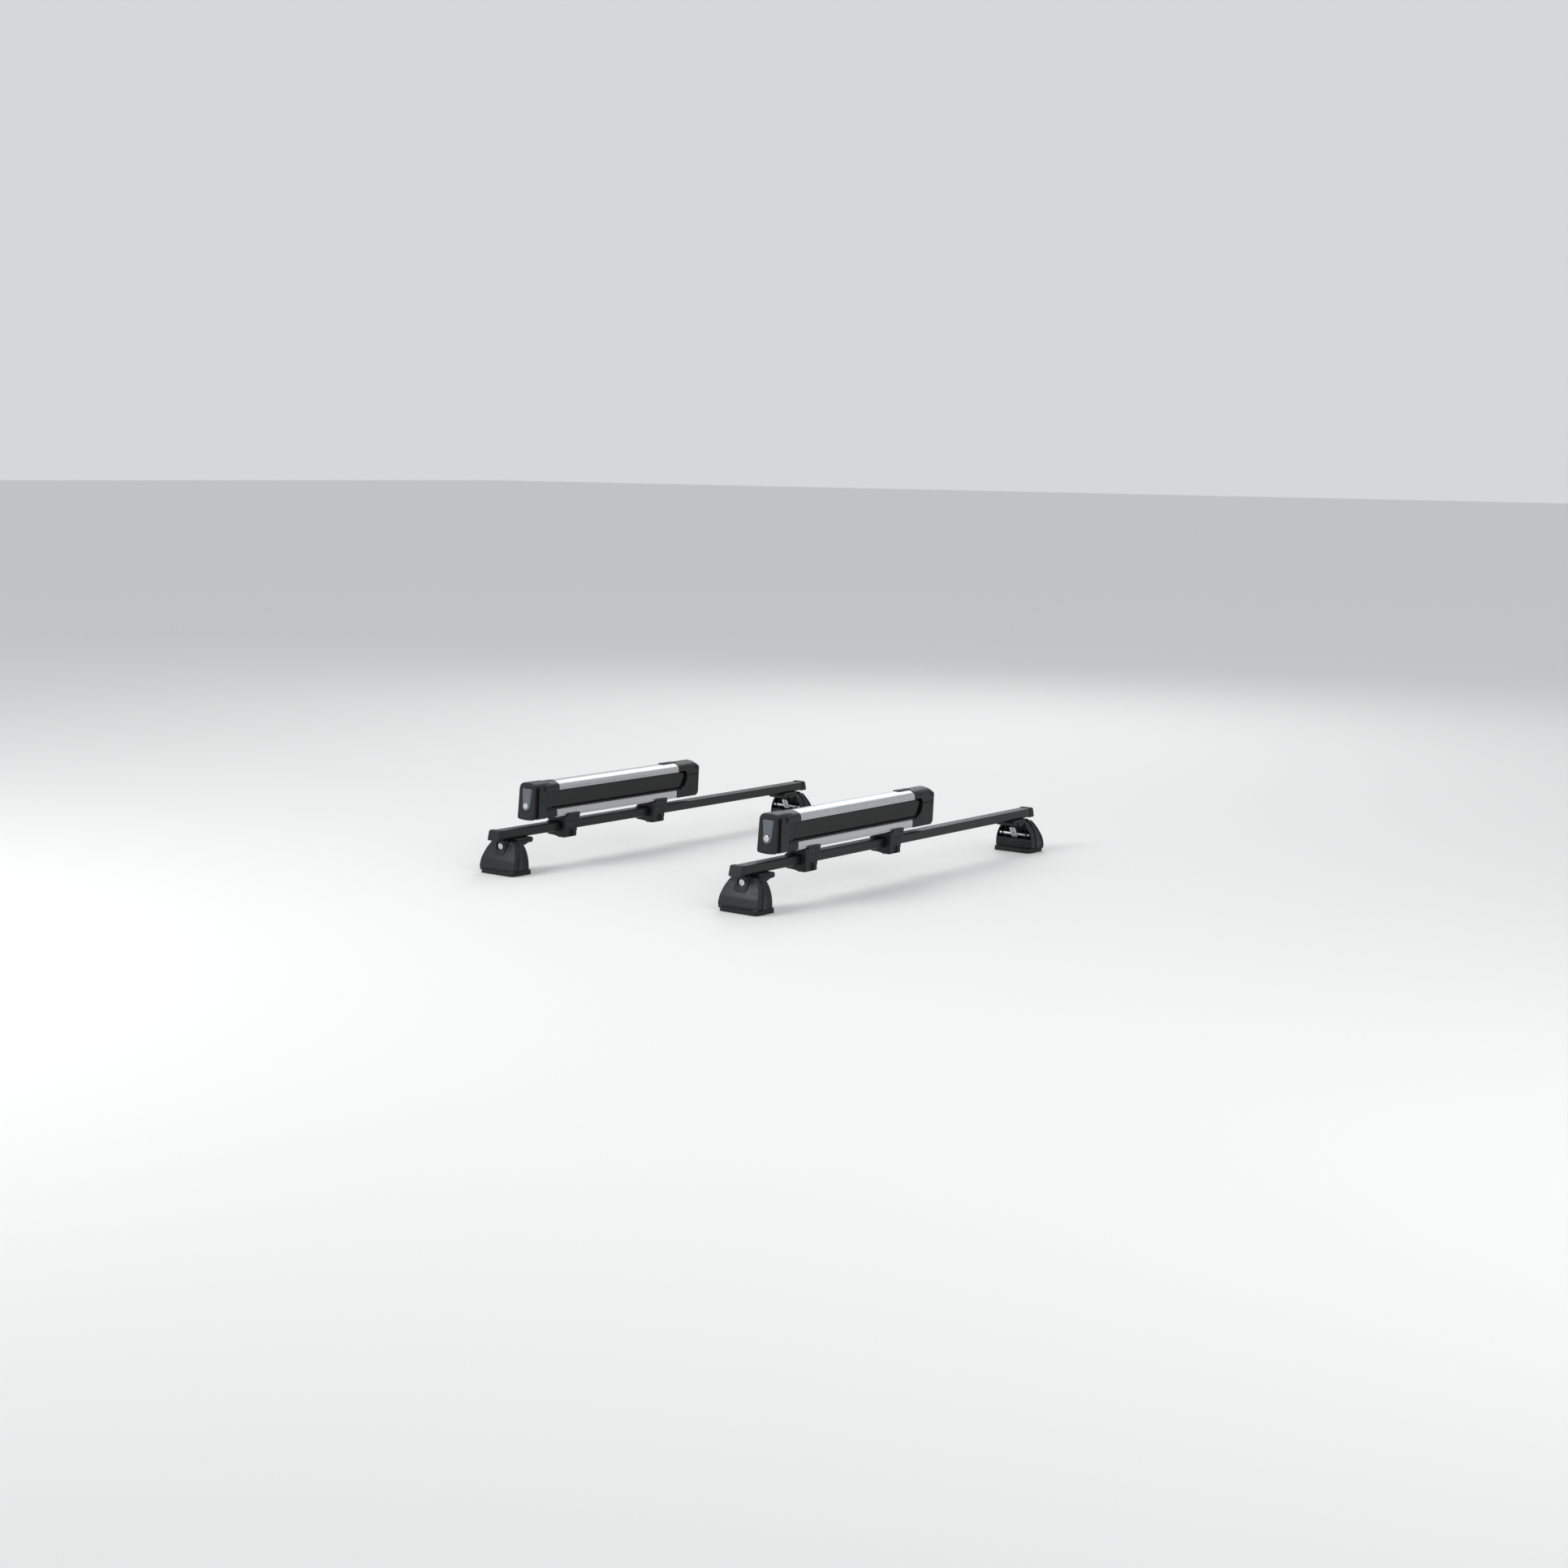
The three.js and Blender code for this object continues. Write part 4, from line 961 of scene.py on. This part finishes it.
far_lip = model(slab(block(17, 5, 0, 113), 2, 6, 54, 0.8))
print(f"hinge cap: {len(hinge_cap.polygons)} faces")

# %% Hinge tower
wall_top = PIN + 19.2 * np.array([math.cos(math.radians(-34.1)), math.sin(math.radians(-34.1))])
tower_side = np.concatenate(
    [
        [(38.3, 25), (wall_top[0] - 3.2, 25)],
        arc(PIN, 19.2, 325.9, 270, 12),
        [(80, 79.8)],
        bend((80, 74), (77, 57), (62, 51), 10),
        [(56.3, 49.5), (56.3, 45), (38.3, 45)],
    ]
)
tower_radii = np.concatenate([[0.6, 13], [1], np.zeros(12), [1.5], np.zeros(11), [0.8, 0.3, 0.6]])
hinge_tower = union(
    slab(tower_side, tower_radii, -27, 27, 1.4, "X", 8),
    slab(np.concatenate([arc(PIN, 12, 0, 180, 24), [(99, 70), (123, 70)]]), 0, -13, 13, 0.8, "X"),
    lathe([[-26.4, 3.0], [-25.6, 4], [25.6, 4], [26.4, 3.0]], PIN, "X", 32),
)
print(f"hinge tower: {len(hinge_tower.polygons)} faces")

# %% Striker cap
striker_side = [(-440.5, 27), (-406.3, 27), (-406.3, 45), (-440.5, 45)]
striker = cut(
    model(slab(striker_side, [3, 0.3, 0.3, 1], -26.5, 26.5, 1.0, "X")),
    slab(block(9, 24, -437, 38), 0, -9.5, 9.5, 0.01, "X"),
)

for end, x in BAR_X.items():
    at = (x, 0, BAR_Z)
    for name, mesh, node, finish, slot in [
        ("upper_extrusion", upper_profile, "upper_profile", aluminium, "anodised_aluminium"),
        ("lower_extrusion", lower_profile, "lower_profile", aluminium, "anodised_aluminium"),
        ("upper_strip", upper_strip, "upper_rubber", strip_rubber, "rubber"),
        ("lower_strip", lower_strip, "lower_rubber", strip_rubber, "rubber"),
        ("latch_moulding", housing, "latch_housing", cover_plastic, "cover_plastic"),
        ("button_moulding", button, "push_button", button_plastic, "button_plastic"),
        ("hook_lever", hook, "latch_hook", black_steel, "zinc_steel"),
        ("hinge_cap_moulding", hinge_cap, "hinge_cap", black_plastic, "black_plastic"),
        ("hinge_cap_lip", far_lip, "hinge_cap", black_plastic, "black_plastic"),
        ("hinge_tower_moulding", hinge_tower, "hinge_tower", black_plastic, "black_plastic"),
        ("striker_moulding", striker, "striker_cap", black_plastic, "black_plastic"),
    ]:
        piece(f"{end}_{name}", mesh, f"{end}_{node}", finish, at)
    lock_node, lock_at = f"{end}_carrier_lock", (x, lock_face, BAR_Z + 59)
    piece(f"{lock_node}_cylinder", carrier_lock, lock_node, chrome, lock_at, math.pi)
print(f"{len(made)} pieces with the carriers")

# %% [markdown]
# ## Clamps under the carriers
#
# A bracket saddles the bar and comes down its front to a slightly narrower foot. A jaw hooks round the back, and
# a bolt in a round recess draws the two together. All three are mouldings or turned parts with small, even edge
# radii.

# %% Bracket and jaw
BOLT_Z, MIDDLE = -16.5, 22.0
bracket_end = [(-27, 24.7), (-27, 15.3), (-20, 11.3), (16.3, 11.3), (16.3, -11.3), (13.3, -11.3)]
bracket_end += [(13.3, -27), (31, -27), (31, 24.7)]
bracket_radii = [0.8, 1.5, 1, 0.6, 0.4, 0.3, 1, 3, 0.8]
tab_side = [(4.5, 0), (43, 0), (50, 10), (54.9, 26), (54.9, 31), (12, 31)]
side_tab = slab(tab_side, [0.5, 1, 4, 2, 1, 5], 27.3, 31.6, 0.8, "X")
bolt_recess = lathe([[25, 8.5], [40, 8.9]], (MIDDLE, BOLT_Z), "X", 40)
bolt_hole = lathe([[0, 3.3], [40, 3.3]], (MIDDLE, BOLT_Z), "X", 24)
tab_groove = slab(block(34, 1.2, 22, 12.5), 0.5, 30.2, 34, 0.05, "X")
lower_step = [(41.5, -40), (60, -40), (60, -11.9), (44.5, -11.9), (41.5, -14.5)]
bracket = union(slab(bracket_end, bracket_radii, 0, 44, 1.0), side_tab)
bracket = cut(bracket, bolt_recess, bolt_hole, tab_groove, slab(lower_step, 0, 13.6, 40, 0.05, "X"))
jaw_end = np.concatenate(
    [
        bend((13, -27), (2, -23), (-10, -22.5), 6),
        bend((-17, -22.5), (-24, -22.5), (-27.5, -20), 6),
        [(-29, -11.3), (-29, 6.3), (-25, 11), (-19, 11), (-16.3, 8.3), (-16.3, -11.3), (13, -11.3)],
    ]
)[::-1]
jaw_radii = np.concatenate([[0.5, 0.5, 0.8, 1, 1.5, 1.5, 1], np.zeros(14)])
jaw_hole = lathe([[-40, 3.3], [40, 3.3]], (MIDDLE, BOLT_Z), "X", 24)
jaw = cut(model(slab(jaw_end[::-1], jaw_radii[::-1], 1, 43, 1.0)), jaw_hole)
print(f"bracket {len(bracket.polygons)} faces, jaw {len(jaw.polygons)} faces")

# %% Bolt
hexagon = arc((0, 0), 6.5, 0, 360, 6)[:-1]
socket = hexagon * (2.9 / 6.5)
angles = ray_angles((0, 0), hexagon, count=72)
hexagon, socket = spokes(hexagon, (0, 0), angles), spokes(socket, (0, 0), angles)
collar_out = circle((0, 0), 5.9, angles)
head_rows = [(socket, 27.0), (socket, 29.4), (socket * 1.1, 29.8), (collar_out, 29.8)]
head_rows += [(hexagon * 0.985, 29.3), (hexagon, 29.0), (hexagon, 25.8), (hexagon * 0.97, 25.3)]
head_rings = [np.column_stack([np.full(len(ring), at), ring + (MIDDLE, BOLT_Z)]) for ring, at in head_rows]
thread = np.linspace(-24, 25.5, 200)
THREAD_PITCH = 2.0
crests = 2.85 - 0.15 * np.cos(2 * np.pi * thread / THREAD_PITCH)
shank = lathe(np.column_stack([thread, crests]), (MIDDLE, BOLT_Z), "X", 24)
bolt = model(skin(np.array(head_rings)), shank)

for end, x in BAR_X.items():
    for index, y in enumerate((-384.0, -58.0), start=1):
        name, at = f"{end}_clamp_{index}", (x, y, BAR_Z)
        piece(f"{name}_bracket_moulding", bracket, f"{name}_bracket", black_plastic, at)
        piece(f"{name}_jaw_moulding", jaw, f"{name}_jaw", black_plastic, at)
        piece(f"{name}_socket_bolt", bolt, f"{name}_bolt", black_steel, at)
print(f"{len(made)} pieces in all, {sum(len(o.data.polygons) for o in made)} faces")

# %% [markdown]
# ## Floor and light
#
# A plain pale floor, a large soft lamp high on the left, a weaker one on the right, and a pale world. The dark
# mouldings would vanish in flat light, so the left lamp rakes the faces that look along the bars.

# %% Floor, lamps and world
floor_mesh = bpy.data.meshes.new("floor")
floor_mesh.from_pydata([(-60, -60, 0), (60, -60, 0), (60, 60, 0), (-60, 60, 0)], [], [(0, 1, 2, 3)])
floor = bpy.data.objects.new("floor", floor_mesh)
bpy.context.scene.collection.objects.link(floor)
paper, tree, _ = new_tree("pale studio paper")
close_tree(tree, add(tree, "BsdfPrincipled", {"Base Color": linear("#e4e4e3"), "Roughness": 0.8}))
floor_mesh.materials.append(paper)

LAMPS = [
    ("key", (-1.6, -3.6, 2.6), 2.2, 95),
    ("fill", (3.6, -1.2, 2.2), 2.6, 38),
    ("back", (-1.5, 3.4, 3.0), 2.6, 45),
]
for name, where, size, power in LAMPS:
    lamp = bpy.data.objects.new(name, bpy.data.lights.new(name, "AREA"))
    lamp.data.shape, lamp.data.size, lamp.data.energy = "DISK", size, power
    lamp.location = where
    lamp.rotation_euler = (Vector((0, 0, 0.1)) - Vector(where)).to_track_quat("-Z", "Y").to_euler()
    bpy.context.scene.collection.objects.link(lamp)

world = bpy.data.worlds.new("pale room")
world.use_nodes = True
world.node_tree.nodes["Background"].inputs["Color"].default_value = linear("#f2f4f6")
world.node_tree.nodes["Background"].inputs["Strength"].default_value = 0.75
bpy.context.scene.world = world
bpy.context.scene.view_settings.view_transform = "Standard"
